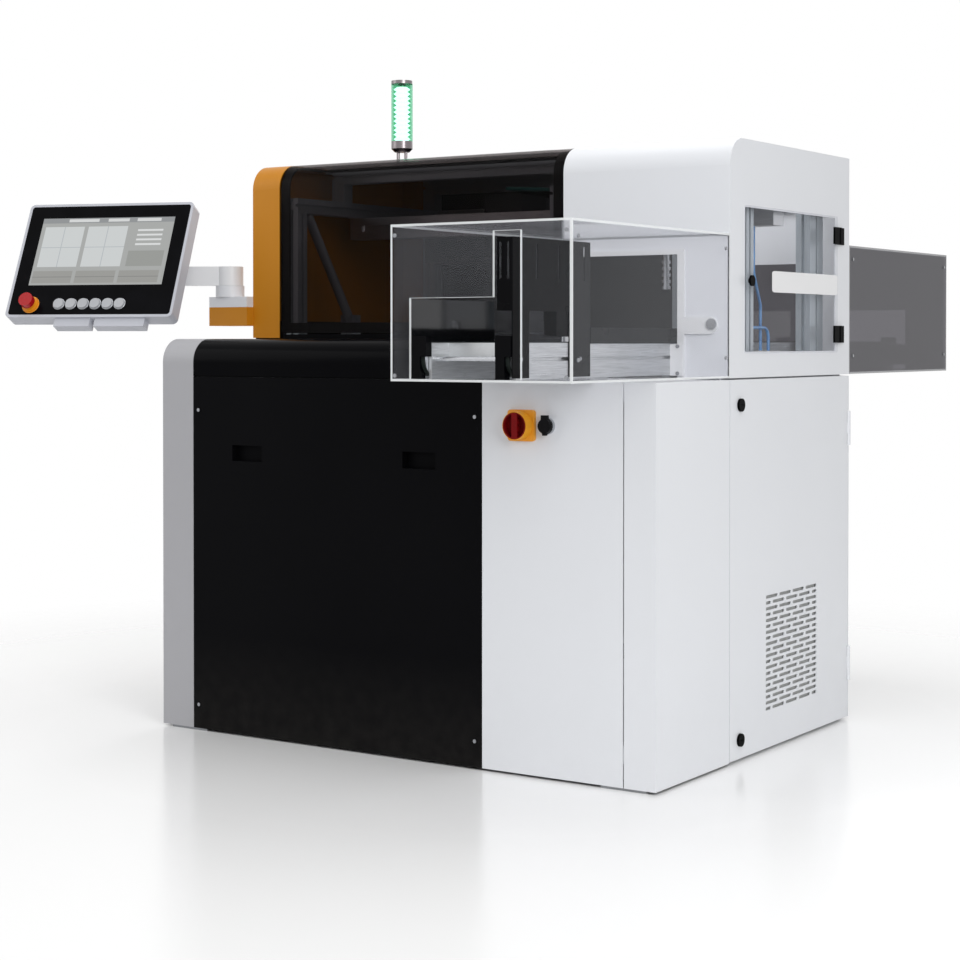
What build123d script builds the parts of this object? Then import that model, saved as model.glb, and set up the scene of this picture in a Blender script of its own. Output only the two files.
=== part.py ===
from build123d import *
import math
import os

# A floor-standing laser engraver for spectacle lenses: a two-storey cabinet with a conveyor
# that runs through it from front to back, guards over both ends of the conveyor, and a panel
# on a swivel arm. All sizes are in millimetres, +X is the operator's right, +Y runs into the
# machine and +Z is up. The origin is the middle of the cabinet's footprint, on the floor.

# Cabinet envelope
CAB_W = 1450.0
CAB_D = 1065.0
DECK_TOP = 908.0
COWL_TOP = 1005.0
BODY_TOP = 1480.0
HOUSING_SETBACK = 362.0
END_COVER_W = 104.0
ORANGE_W = 93.0
BAY_W = 457.0
CORNER_W = 80.0
SKIRT_GAP = 6.0
SHEET = 3.0
SEAM = 3.0
SHADOW = 7.0
HAIR = 1.0
LOWER_EDGE_R = 60.0
UPPER_EDGE_R = 67.0

# Frames
POST = 40.0
SLOT_W = 8.0
SLOT_DEEP = 9.0
FRAME_BOTTOM = 60.0
DOOR_T = 22.0
DOOR_GAP = 3.0
GRID_BEAM_TOP = 1387.0

# Levelling feet
FOOT_W = 120.0
FOOT_D = 70.0
FOOT_T = 8.0
STUD_R = 8.0
NUT_R = 14.0
NUT_T = 13.0
ANCHOR_R = 5.5
ANCHOR_OFF = 42.0

# Grip recesses, main switch and service socket
GRIP_W = 96.0
GRIP_H = 40.0
GRIP_DEEP = 24.0
GRIP_Z = 716.0
GRIP_IN = 178.0
SWITCH_SIDE = 72.0
SWITCH_Z = 806.5
SWITCH_IN = 346.0
SWITCH_T = 8.0
HANDLE_R = 32.0
HANDLE_OUT = 28.0
HANDLE_WALL = 4.0
HANDLE_BOWL = 15.0
SOCKET_IN = 278.0
SOCKET_R = 19.0
SOCKET_T = 9.0
CAP_R = 16.5
CAP_T = 9.0

# Door, locks and vent
LOCK_R = 15.5
LOCK_OUT = 6.0
LOCK_IN = 54.0
LOCK_TOP_Z = 848.0
LOCK_LOW_Z = 53.0
VENT_ROWS = 20
VENT_PITCH_Z = 14.35
VENT_PITCH_Y = 77.5
VENT_LONG = 68.0
VENT_HIGH = 8.0
VENT_TOP_Z = 380.0
VENT_MID_IN = 347.0
HINGE_R = 7.0

# Hood over the laser bay
HOOD_BOTTOM = 1020.5
HOOD_T = 6.0
HOOD_SEAM = 3.0
HOOD_BACK_GAP = 18.0
HOOD_DEPTH = 196.0
HOOD_NOTCH = 14.0
HOOD_LUG_W = 12.0
HOOD_PIN_Y = 7.5
HOOD_BORDER = 28.0
HOOD_FRAME_T = 4.0
HOOD_PIN_R = 3.0
HOOD_PIN_DROP = 8.0
RUNNING = 0.4

# Side window
WINDOW_FRONT_IN = 437.8
WINDOW_BACK_IN = 976.5
WINDOW_LOW = 970.0
WINDOW_TOP = 1322.4
WINDOW_T = 6.0
WINDOW_LAP = 4.0
WINDOW_OFF = 0.3
KNOB_R = 13.0
KNOB_OUT = 10.0
KNOB_Z = 1143.0
WHINGE_H = 44.0
WHINGE_W = 37.0
WHINGE_T = 5.0
WHINGE_R = 5.0

# Conveyor
CONV_IN = 280.0
LANE = 108.0
RAIL_W = 40.0
RAIL_BOTTOM = 918.0
SHAFT_Z = 960.6
SHAFT_R = 5.3
PULLEY_R = 34.7
BELT_W = 25.0
BELT_T = 2.0
BELT_GAP = 0.3
CAP_LONG = 22.0
CAP_STEP = 16.0
CAP_STEP_Z = 966.0
CAP_TOP = 1010.5
NOSE_LONG = 86.0
STRIP_T = 4.0
STRIP_TOP = 1029.6
STRIP_HOLD = 2.0
STRIP_IN = 19.0
GUIDE_T = 4.0
GUIDE_TOP = 1090.0

# Guards over the conveyor's ends
GUARD_FRONT_OUT = 360.0
GUARD_REAR_OUT = 722.0
GUARD_T = 6.0
GUARD_LOW = 912.5
GUARD_TOP = 1251.5
GATE_LEFT_IN = 406.5
GATE_RIGHT_IN = 124.5
GATE_STEP_IN = 192.0
GATE_LOW = 917.0
GATE_MID = 1091.5
GATE_TOP = 1230.0

# Aperture in the housing's front
APER_LEFT_IN = 430.0
APER_RIGHT_IN = 136.0
APER_TOP = 1205.7
APER_RIM = 12.0
APER_RIM_RIGHT = 17.5
APER_T = 6.0
TIE_PLATE_LOW = 917.0
TIE_PLATE_TOP = 992.0
TIE_PLATE_T = 6.0
TAB_END_IN = 31.0
TAB_Z = 1036.5
TAB_H = 41.0
LATCH_IN = 44.6
LATCH_R = 13.0
LATCH_T = 5.0

# Sensor bracket and tray reader
BRK_T = 2.5
BRK_FRONT_IN = 10.0
BRK_LONG = 320.0
BRK_FLANGE = 39.0
BRK_TOP = 1218.0
BRK_LOW = 1063.0
BRK_LEG = 65.0
BRK_LEG_BACK = 90.0
BRK_SLOT_W = 7.0
BRK_SLOT_H = 78.0
READER_W = 32.0
READER_LOW = 1009.0
READER_TOP = 1082.0
READER_LONG = 130.0

# Signal tower
TOWER_IN = 1175.0
TOWER_BACK = 680.0
TOWER_R = 30.0
TOWER_BASE_LOW = 1528.0
TOWER_TAPER = 9.0
TOWER_LENS_LOW = 1558.0
TOWER_LENS_TOP = 1718.0
TOWER_CAP_TOP = 1727.0
TOWER_RIBS = 12
TOWER_LEG_R = 4.6
TOWER_LEG_OFF = 13.0

# Panel on its arm
HUB_OUT = 85.0
HUB_Y = -167.5
HUB_R = 39.5
BRACKET_LOW = 1041.0
BRACKET_TOP = 1121.0
BRACKET_HALF = 50.0
ARM_LOW = 1152.5
ARM_TOP = 1205.0
ARM_LONG = 324.0
ARM_W = 48.0
ARM_TURN = 211.0
HMI_X = -1060.0
HMI_Y = -419.5
HMI_Z = 1222.5
HMI_YAW = 18.5
HMI_TILT = 26.6
GLASS_W = 476.0
GLASS_H = 338.0
GLASS_T = 2.0
HMI_RIM = 8.0
HMI_T = 45.0
HMI_R = 14.0
KNUCKLE_R = 26.0
TILT_R = 13.0
ESTOP_U = -175.6
ESTOP_V = -139.2
ESTOP_RING_R = 22.5
ESTOP_R = 20.0
ESTOP_OUT = 35.0
BUTTON_U = -91.7
BUTTON_PITCH = 35.9
BUTTON_V = -137.0
BUTTON_R = 14.2
BUTTON_OUT = 6.0
BUTTON_FIT = 0.6
BUTTONS = 6

# Laser bay and gantry
BEAM_H = 60.0
BEAM_FRONT_Y = 130.0
CARRIAGE_W = 90.0
GRIPPER_Y = 37.5
GRIPPER_LIP = 1129.0
BELLOWS_H = 80.0
BELLOWS_R = 11.0
STATION_X = -150.0
SHUTTLE_TRAVEL = 230.0
SHUTTLE_W = 120.0
CHUCK_TOP = 1060.0
CHUCK_R = 28.0
HEAD_W = 124.0
HEAD_LOW = 1230.0
HEAD_H = 170.0

# Levels and stations that follow from the sizes above
X_L = -CAB_W / 2
X_R = CAB_W / 2
Y_F = -CAB_D / 2
Y_B = CAB_D / 2
Y_H = Y_F + HOUSING_SETBACK
X_END = X_L + END_COVER_W
X_BAY = X_R - BAY_W
X_OR = X_L + ORANGE_W
DECK_LOW = DECK_TOP - SHEET
LOWER_Y0 = Y_F + SHEET
LOWER_Y1 = Y_B - SHEET
LOWER_X0 = X_L + SHEET
LOWER_X1 = X_R - DOOR_T - DOOR_GAP
DOOR_Y0 = Y_H + SEAM / 2
DOOR_Y1 = Y_B - SHEET - SEAM / 2
JAMB_Y1 = DOOR_Y0 - SEAM / 2
X_CONV = X_R - CONV_IN
GUARD_Y0 = Y_F - GUARD_FRONT_OUT
GUARD_Y1 = Y_B + GUARD_REAR_OUT
HINGE_Y = Y_H + HOOD_DEPTH + HOOD_PIN_Y
HINGE_Z = BODY_TOP - HOOD_PIN_DROP
HOOD_X0 = X_OR + HOOD_SEAM
HOOD_X1 = X_BAY - HOOD_SEAM
COVER_Y0 = Y_H + HOOD_DEPTH + HOOD_BACK_GAP

os.makedirs("parts", exist_ok=True)


def block(x, y, z, mode=Mode.ADD):
    """A straight block between two limits on each axis, in the part being built."""
    with Locations(((x[0] + x[1]) / 2, (y[0] + y[1]) / 2, (z[0] + z[1]) / 2)):
        Box(x[1] - x[0], y[1] - y[0], z[1] - z[0], mode=mode)


def rod(at, radius, length, axis=(0, 0, 1), mode=Mode.ADD):
    """A round bar of a given length from a point along an axis."""
    with BuildSketch(Plane(origin=at, z_dir=axis)) as disc:
        Circle(radius)
    extrude(disc.sketch, amount=length, mode=mode)


def finish(build, name):
    """Names a finished piece and writes it as its own file."""
    build.part.label = name
    export_step(build.part, "parts/" + name + ".step")


def slotted_bar(x, y, z):
    """A square framing bar with one groove along the middle of each long side."""
    block(x, y, z)
    spans = [x, y, z]
    size = [s[1] - s[0] for s in spans]
    run = size.index(max(size))
    for side in range(3):
        if side == run:
            continue
        across = 3 - run - side
        for edge in (0, 1):
            cut = [None, None, None]
            cut[run] = spans[run]
            middle = (spans[across][0] + spans[across][1]) / 2
            cut[across] = (middle - SLOT_W / 2, middle + SLOT_W / 2)
            face = spans[side][edge]
            deep = SLOT_DEEP if edge == 0 else -SLOT_DEEP
            cut[side] = (min(face, face + deep), max(face, face + deep))
            block(cut[0], cut[1], cut[2], mode=Mode.SUBTRACT)


# Welded base frame: posts at the corners and behind the seam, rings at floor and deck, and
# the strip that the service door closes against
with BuildPart() as base_frame:
    post_x = (LOWER_X0, X_BAY - POST / 2, LOWER_X1 - POST)
    for px in post_x:
        for py in (LOWER_Y0, LOWER_Y1 - POST):
            block((px, px + POST), (py, py + POST), (FRAME_BOTTOM, DECK_LOW))
    for low in (FRAME_BOTTOM, DECK_LOW - POST):
        for py in (LOWER_Y0, LOWER_Y1 - POST):
            block((LOWER_X0, LOWER_X1), (py, py + POST), (low, low + POST))
        for px in post_x:
            block((px, px + POST), (LOWER_Y0, LOWER_Y1), (low, low + POST))
    block(
        (LOWER_X1 + RUNNING, X_R - SHEET),
        (JAMB_Y1 - POST, JAMB_Y1),
        (FRAME_BOTTOM, DECK_LOW),
    )
finish(base_frame, "base_frame")

# Four levelling feet, each a plate with an anchor hole, a stud and its lock nut
foot_x = (FOOT_W / 2 - LOWER_X1, LOWER_X1 - FOOT_W / 2)
foot_y = (LOWER_Y0 + FOOT_D / 2, LOWER_Y1 - FOOT_D / 2)
with BuildPart() as levelling_feet:
    for fx, inward in ((foot_x[0], 1), (foot_x[1], -1)):
        for fy in foot_y:
            stud_x = fx - inward * (FOOT_W - POST) / 2
            with BuildSketch() as plate:
                with Locations((fx, fy)):
                    RectangleRounded(FOOT_W, FOOT_D, FOOT_T)
                with Locations((fx + inward * ANCHOR_OFF, fy)):
                    Circle(ANCHOR_R, mode=Mode.SUBTRACT)
            extrude(plate.sketch, amount=FOOT_T)
            rod((stud_x, fy, 0), STUD_R, FRAME_BOTTOM)
            with BuildSketch(Plane.XY.offset(FRAME_BOTTOM - NUT_T)) as nut:
                with Locations((stud_x, fy)):
                    RegularPolygon(NUT_R, 6)
            extrude(nut.sketch, amount=NUT_T)
finish(levelling_feet, "levelling_feet")

# Deck plate over the frame, and the floor sheet inside it
with BuildPart() as cabinet_plates:
    block((LOWER_X0, LOWER_X1), (LOWER_Y0, LOWER_Y1), (DECK_LOW, DECK_TOP))
    block(
        (LOWER_X0, X_R - SHEET),
        (LOWER_Y0, JAMB_Y1),
        (DECK_LOW, DECK_TOP),
    )
    block(
        (LOWER_X0 + POST, LOWER_X1 - POST),
        (LOWER_Y0 + POST, LOWER_Y1 - POST),
        (FRAME_BOTTOM + POST, FRAME_BOTTOM + POST + SHEET),
    )
finish(cabinet_plates, "cabinet_plates")


def side_profile(front, low, top, back, radius):
    """The cabinet's side outline: a box with a rounded front top edge."""
    bulge = radius * (1 - math.sqrt(0.5))
    with BuildLine() as outline:
        Polyline((back, top), (back, low), (front, low), (front, top - radius))
        ThreePointArc(
            (front, top - radius),
            (front + bulge, top - bulge),
            (front + radius, top),
        )
        Line((front + radius, top), (back, top))
    return outline.line


def folded_shell(x, front, low, top, back, radius, open_sides=()):
    """A sheet cover of the side outline between two X limits, hollow, open below."""
    with BuildSketch(Plane.YZ.offset(x[0])) as outer:
        add(side_profile(front, low, top, back, radius))
        make_face()
    extrude(outer.sketch, amount=x[1] - x[0])
    left = x[0] if "left" in open_sides else x[0] + SHEET
    right = x[1] if "right" in open_sides else x[1] - SHEET
    with BuildSketch(Plane.YZ.offset(left)) as inner:
        add(side_profile(front + SHEET, low, top - SHEET, back - SHEET, radius - SHEET))
        make_face()
    extrude(inner.sketch, amount=right - left, mode=Mode.SUBTRACT)


# Grey cover over the left end of the base
with BuildPart() as grey_end_cover:
    folded_shell((X_L, X_END), Y_F, SKIRT_GAP, COWL_TOP, Y_B, LOWER_EDGE_R, ("right",))
finish(grey_end_cover, "grey_end_cover")

# Black front panel with two grip recesses
BLACK_X0 = X_END + HAIR
BLACK_X1 = X_BAY - SEAM + HAIR
with BuildPart() as black_front_panel:
    block((BLACK_X0, BLACK_X1), (Y_F, Y_F + SHEET), (SKIRT_GAP, DECK_TOP))
    for gx in (BLACK_X0 + GRIP_IN, BLACK_X1 - GRIP_IN):
        span = (gx - GRIP_W / 2, gx + GRIP_W / 2)
        rise = (GRIP_Z - GRIP_H / 2, GRIP_Z + GRIP_H / 2)
        block(
            (span[0] - SHEET, span[1] + SHEET),
            (Y_F, Y_F + GRIP_DEEP),
            (rise[0] - SHEET, rise[1] + SHEET),
        )
    for gx in (BLACK_X0 + GRIP_IN, BLACK_X1 - GRIP_IN):
        span = (gx - GRIP_W / 2, gx + GRIP_W / 2)
        rise = (GRIP_Z - GRIP_H / 2, GRIP_Z + GRIP_H / 2)
        block(span, (Y_F, Y_F + GRIP_DEEP - SHEET), rise, mode=Mode.SUBTRACT)
finish(black_front_panel, "black_front_panel")

# Black cowl above the deck, in front of the hood, with a sill that the hood closes down to
SILL_Y = Y_H + HOOD_T + HOOD_FRAME_T
with BuildPart() as black_cowl:
    folded_shell(
        (BLACK_X0, BLACK_X1),
        Y_F,
        DECK_TOP + SEAM,
        COWL_TOP,
        SILL_Y,
        LOWER_EDGE_R,
        ("left",),
    )
    block(
        (BLACK_X0, BLACK_X1),
        (Y_F + SHADOW, Y_F + SHADOW + SHEET),
        (DECK_TOP, DECK_TOP + 2 * SHADOW),
    )
    block(
        (BLACK_X0, BLACK_X1),
        (Y_F + SHEET, Y_F + SHADOW),
        (DECK_TOP + SEAM, DECK_TOP + 2 * SHADOW),
    )
    block((BLACK_X0, BLACK_X1), (SILL_Y - SHEET, SILL_Y), (DECK_TOP, COWL_TOP))
    block(
        (BLACK_X0, HOOD_X1),
        (Y_H, SILL_Y),
        (COWL_TOP - SHEET, HOOD_BOTTOM - HOOD_SEAM),
    )
finish(black_cowl, "black_cowl")

# White front panel of the right bay
WHITE_X0 = X_BAY
WHITE_X1 = X_R - CORNER_W - SEAM
switch_x = X_R - SWITCH_IN
socket_x = X_R - SOCKET_IN
with BuildPart() as white_front_panel:
    block((WHITE_X0, WHITE_X1), (Y_F, Y_F + SHEET), (SKIRT_GAP, DECK_TOP))
finish(white_front_panel, "white_front_panel")

# Corner panel that turns from the front onto the right side
with BuildPart() as white_corner_panel:
    block((X_R - CORNER_W, X_R), (Y_F, Y_F + SHEET), (SKIRT_GAP, DECK_TOP))
    block((X_R - SHEET, X_R), (Y_F, DOOR_Y0 - SEAM), (SKIRT_GAP, DECK_TOP))
finish(white_corner_panel, "white_corner_panel")

# Service door on the right side: a folded tray with a louvred field, hung on two hinges
DOOR_LOW = 8.0
RIM = 3.0
KNUCKLE_LEN = 30.0
DOOR_PIN_R = 3.0
DOOR_HINGE_Z = (150.0, 770.0)
hinge_x = X_R
hinge_y = DOOR_Y1 + SEAM / 2
lock_y = Y_H + LOCK_IN
vent_y = DOOR_Y0 + VENT_MID_IN
with BuildPart() as service_door:
    block((X_R - DOOR_T, X_R), (DOOR_Y0, DOOR_Y1), (DOOR_LOW, DECK_TOP))
    block(
        (X_R - DOOR_T, X_R - RIM),
        (DOOR_Y0 + RIM, DOOR_Y1 - RIM),
        (DOOR_LOW + RIM, DECK_TOP - RIM),
        mode=Mode.SUBTRACT,
    )
    with BuildSketch(Plane.YZ.offset(X_R - RIM)) as louvres:
        for row in range(VENT_ROWS):
            level = VENT_TOP_Z - VENT_HIGH / 2 - row * VENT_PITCH_Z
            if row % 2 == 0:
                with Locations((vent_y, level)):
                    with GridLocations(VENT_PITCH_Y, 1, 4, 1):
                        SlotOverall(VENT_LONG, VENT_HIGH)
            else:
                half = VENT_LONG / 2 - (VENT_PITCH_Y - VENT_LONG) / 2
                with Locations((vent_y, level)):
                    with GridLocations(VENT_PITCH_Y, 1, 3, 1):
                        SlotOverall(VENT_LONG, VENT_HIGH)
                    with GridLocations(3.5 * VENT_PITCH_Y, 1, 2, 1):
                        SlotOverall(half, VENT_HIGH)
    extrude(louvres.sketch, amount=RIM, mode=Mode.SUBTRACT)
    for level in (LOCK_TOP_Z, LOCK_LOW_Z):
        rod((X_R - RIM, lock_y, level), LOCK_R / 2 + RUNNING, RIM, (1, 0, 0), Mode.SUBTRACT)
    for level in DOOR_HINGE_Z:
        block(
            (X_R - DOOR_T, X_R),
            (DOOR_Y1 - HINGE_R, DOOR_Y1),
            (level - 1.5 * KNUCKLE_LEN - HAIR, level + 1.5 * KNUCKLE_LEN + HAIR),
            mode=Mode.SUBTRACT,
        )
        block(
            (X_R - RIM, X_R),
            (DOOR_Y1 - 2 * HINGE_R, hinge_y),
            (level - KNUCKLE_LEN / 2, level + KNUCKLE_LEN / 2),
        )
        rod(
            (hinge_x, hinge_y, level - KNUCKLE_LEN / 2),
            HINGE_R - HAIR,
            KNUCKLE_LEN,
        )
        rod(
            (hinge_x, hinge_y, level - KNUCKLE_LEN / 2),
            DOOR_PIN_R + RUNNING,
            KNUCKLE_LEN,
            mode=Mode.SUBTRACT,
        )
finish(service_door, "service_door")

# Quarter-turn locks: slotted head, barrel through the door skin and a cam inside the tray
CAM_LONG = 34.0
CAM_W = 14.0
CAM_T = 4.0
for name, level in (("lock_top", LOCK_TOP_Z), ("lock_bottom", LOCK_LOW_Z)):
    with BuildPart() as lock:
        rod((X_R + RUNNING, lock_y, level), LOCK_R, LOCK_OUT, (1, 0, 0))
        block(
            (X_R + LOCK_OUT / 2, X_R + RUNNING + LOCK_OUT),
            (lock_y - LOCK_R / 2, lock_y + LOCK_R / 2),
            (level - HAIR, level + HAIR),
            mode=Mode.SUBTRACT,
        )
        rod(
            (X_R - DOOR_T / 2 - CAM_T, lock_y, level),
            LOCK_R / 2,
            DOOR_T / 2 + CAM_T + RUNNING,
            (1, 0, 0),
        )
        block(
            (X_R - DOOR_T / 2 - CAM_T, X_R - DOOR_T / 2),
            (lock_y - CAM_W / 2, lock_y + CAM_W / 2),
            (level - CAM_W / 2, level + CAM_LONG),
        )
    finish(lock, name)

# Main switch: yellow plate, red rotary handle with its grip bar sunk in a round bowl
HANDLE_SPIGOT = 9.0
with BuildPart() as switch_plate:
    with BuildSketch(Plane.XZ.offset(-Y_F)) as square:
        with Locations((switch_x, SWITCH_Z)):
            RectangleRounded(SWITCH_SIDE, SWITCH_SIDE, SWITCH_T)
            Circle(HANDLE_SPIGOT + RUNNING, mode=Mode.SUBTRACT)
    extrude(square.sketch, amount=SWITCH_T)
finish(switch_plate, "switch_plate")

GRIP_T = 15.0
PADLOCK_R = 4.0
with BuildPart() as switch_handle:
    face_y = Y_F - SWITCH_T - RUNNING
    rod((switch_x, Y_F - RUNNING, SWITCH_Z), HANDLE_SPIGOT, SWITCH_T, (0, -1, 0))
    rod((switch_x, face_y, SWITCH_Z), HANDLE_R, HANDLE_OUT, (0, -1, 0))
    with BuildSketch(Plane.XZ.offset(HANDLE_OUT - face_y)) as bowl:
        with Locations((switch_x, SWITCH_Z)):
            Circle(HANDLE_R - HANDLE_WALL)
            Rectangle(GRIP_T, 2 * HANDLE_R, mode=Mode.SUBTRACT)
    extrude(bowl.sketch, amount=-HANDLE_BOWL, mode=Mode.SUBTRACT)
    for off in (-HANDLE_R / 2, 0, HANDLE_R / 2):
        rod(
            (switch_x - GRIP_T, face_y - HANDLE_OUT + HANDLE_BOWL / 2, SWITCH_Z + off),
            PADLOCK_R,
            2 * GRIP_T,
            (1, 0, 0),
            Mode.SUBTRACT,
        )
finish(switch_handle, "switch_handle")

# Service socket: bright ring, black cap with two wings
RING_BORE = 9.0
with BuildPart() as service_socket:
    rod((socket_x, Y_F, SWITCH_Z), SOCKET_R, SOCKET_T, (0, -1, 0))
    rod((socket_x, Y_F, SWITCH_Z), RING_BORE + RUNNING, SOCKET_T, (0, -1, 0), Mode.SUBTRACT)
finish(service_socket, "service_socket")

with BuildPart() as socket_cap:
    cap_y = Y_F - SOCKET_T - RUNNING
    rod((socket_x, Y_F - RUNNING, SWITCH_Z), RING_BORE, SOCKET_T, (0, -1, 0))
    rod((socket_x, cap_y, SWITCH_Z), CAP_R, CAP_T, (0, -1, 0))
    with BuildSketch(Plane.XZ.offset(-cap_y)) as wings:
        with BuildLine():
            Polyline(
                (socket_x - CAP_R / 2, SWITCH_Z),
                (socket_x - CAP_R / 4, SWITCH_Z - 1.3 * CAP_R),
                (socket_x + CAP_R / 4, SWITCH_Z - 1.3 * CAP_R),
                (socket_x + CAP_R / 2, SWITCH_Z),
                (socket_x + CAP_R / 2, SWITCH_Z + 1.5 * CAP_R),
                (socket_x - CAP_R / 2, SWITCH_Z + 1.5 * CAP_R),
                close=True,
            )
        make_face()
    extrude(wings.sketch, amount=CAP_T)
finish(socket_cap, "socket_cap")

# Rear panels, and seated on them the door's hinge pins, the air port, the cable gland and
# the exhaust spigot
AIR_R = 6.6
AIR_BOSS_R = 14.0
AIR_LEN = 14.0
AIR_AT = (-420.0, 180.0)
GLAND_AT = (-300.0, 180.0)
GLAND_R = 15.0
GLAND_LEN = 32.0
SPIGOT_R = 50.0
SPIGOT_WALL = 2.0
SPIGOT_LEN = 60.0
SPIGOT_AT = (-180.0, 1280.0)


def sleeve(at, outer, inner, length):
    """A sleeve on the rear panel's outer face, and its bore through the panel."""
    rod((at[0], LOWER_Y1, at[1]), inner, SHEET, (0, 1, 0), Mode.SUBTRACT)
    rod((at[0], Y_B + RUNNING, at[1]), outer, length - SHEET - RUNNING, (0, 1, 0))
    rod((at[0], Y_B, at[1]), inner, length, (0, 1, 0), Mode.SUBTRACT)


with BuildPart() as rear_panels:
    block((BLACK_X0, X_R), (LOWER_Y1, Y_B), (SKIRT_GAP, DECK_TOP - RUNNING))
    block((BLACK_X0, HOOD_X1), (LOWER_Y1, Y_B), (DECK_TOP, COWL_TOP + SEAM))
    block((HOOD_X0, HOOD_X1), (LOWER_Y1, Y_B), (COWL_TOP + SEAM, BODY_TOP))
    for level in DOOR_HINGE_Z:
        block(
            (X_R - (HINGE_R - HAIR) - RUNNING, X_R),
            (LOWER_Y1, Y_B),
            (level - 1.5 * KNUCKLE_LEN - HAIR, level + 1.5 * KNUCKLE_LEN + HAIR),
            mode=Mode.SUBTRACT,
        )
        for low in (level - 1.5 * KNUCKLE_LEN, level + KNUCKLE_LEN / 2 + RUNNING):
            rod((hinge_x, hinge_y, low), HINGE_R - HAIR, KNUCKLE_LEN - RUNNING)
        rod(
            (hinge_x, hinge_y, level - 1.5 * KNUCKLE_LEN),
            DOOR_PIN_R,
            3 * KNUCKLE_LEN,
        )
    sleeve(AIR_AT, AIR_BOSS_R, AIR_R, AIR_LEN)
    sleeve(GLAND_AT, GLAND_R, AIR_R, GLAND_LEN)
    sleeve(SPIGOT_AT, SPIGOT_R, SPIGOT_R - SPIGOT_WALL, SPIGOT_LEN)
finish(rear_panels, "rear_panels")

# Orange cover over the left end of the upper housing, seated on the grey cover
with BuildPart() as orange_end_cover:
    folded_shell(
        (X_L, X_OR), Y_H, COWL_TOP + SEAM, BODY_TOP, Y_B, UPPER_EDGE_R, ("right",)
    )
    block(
        (X_L + SHADOW, X_L + SHADOW + SHEET),
        (Y_H + SHEET, Y_B - SHEET),
        (COWL_TOP, COWL_TOP + 3 * SEAM),
    )
    block(
        (X_L + SHEET, X_L + SHADOW),
        (Y_H + SHEET, Y_B - SHEET),
        (COWL_TOP + SEAM, COWL_TOP + 3 * SEAM),
    )
finish(orange_end_cover, "orange_end_cover")

# Fixed black top cover behind the hood
with BuildPart() as top_cover:
    block((HOOD_X0, HOOD_X1), (COVER_Y0, LOWER_Y1), (BODY_TOP - SHEET, BODY_TOP))
finish(top_cover, "top_cover")

# White housing of the right bay, open to the laser bay on its left
HOUSE_X0 = X_BAY + SEAM / 2
HOUSE_LOW = DECK_TOP + SEAM + HAIR
gate_x = (X_R - APER_LEFT_IN, X_R - APER_RIGHT_IN)
win_y = (Y_F + WINDOW_FRONT_IN, Y_F + WINDOW_BACK_IN)
win_z = (WINDOW_LOW, WINDOW_TOP)
knob_y = win_y[0] + KNOB_R + HAIR
with BuildPart() as white_housing:
    folded_shell(
        (HOUSE_X0, X_R), Y_H, HOUSE_LOW, BODY_TOP, Y_B, UPPER_EDGE_R, ("left",)
    )
    block(
        (LOWER_X1 - SEAM - HAIR, X_R - SHEET),
        (Y_H + SHEET, Y_B - SHEET),
        (HOUSE_LOW, HOUSE_LOW + SHEET),
    )
    block(
        (LOWER_X1 - SEAM - HAIR, LOWER_X1),
        (Y_H + SHEET, Y_B - SHEET),
        (DECK_TOP, HOUSE_LOW),
    )
    block(gate_x, (Y_H, Y_B), (HOUSE_LOW, APER_TOP), mode=Mode.SUBTRACT)
    with BuildSketch(Plane.YZ.offset(X_R - SHEET)) as pane_hole:
        with Locations((sum(win_y) / 2, sum(win_z) / 2)):
            RectangleRounded(
                win_y[1] - win_y[0] - 2 * WINDOW_LAP,
                win_z[1] - win_z[0] - 2 * WINDOW_LAP,
                WINDOW_LAP,
            )
    extrude(pane_hole.sketch, amount=SHEET, mode=Mode.SUBTRACT)
finish(white_housing, "white_housing")

# Upper frame of grooved bars: posts, beams, the hood's hinge beam and a brace
POST_SET = 13.0
RIGHT_POST_IN = 70.0
REAR_POST_Y = 350.0
REAR_POST_D = 80.0
BRACE_R = 13.0
BRACE_TOP_Y = 80.0
BRACE_FOOT_Y = 275.0
BRACE_FOOT_Z = 1073.0
left_x = (X_END + SEAM, X_END + SEAM + POST)
mid_x = (HOOD_X1 - SEAM - POST, HOOD_X1 - SEAM)
right_x = (X_R - RIGHT_POST_IN, X_R - RIGHT_POST_IN + POST)
front_y = (Y_H + POST_SET, Y_H + POST_SET + POST)
back_y = (LOWER_Y1 - POST, LOWER_Y1)
beam_z = (GRID_BEAM_TOP - POST, GRID_BEAM_TOP)
hinge_beam_y = (COVER_Y0 + SEAM, COVER_Y0 + SEAM + POST)
roof_z = (BODY_TOP - SHEET - POST, BODY_TOP - SHEET)
side_post_y = Y_F + 510.0
side_post = (side_post_y, side_post_y + POST)
rear_post = (REAR_POST_Y, REAR_POST_Y + REAR_POST_D)
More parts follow.
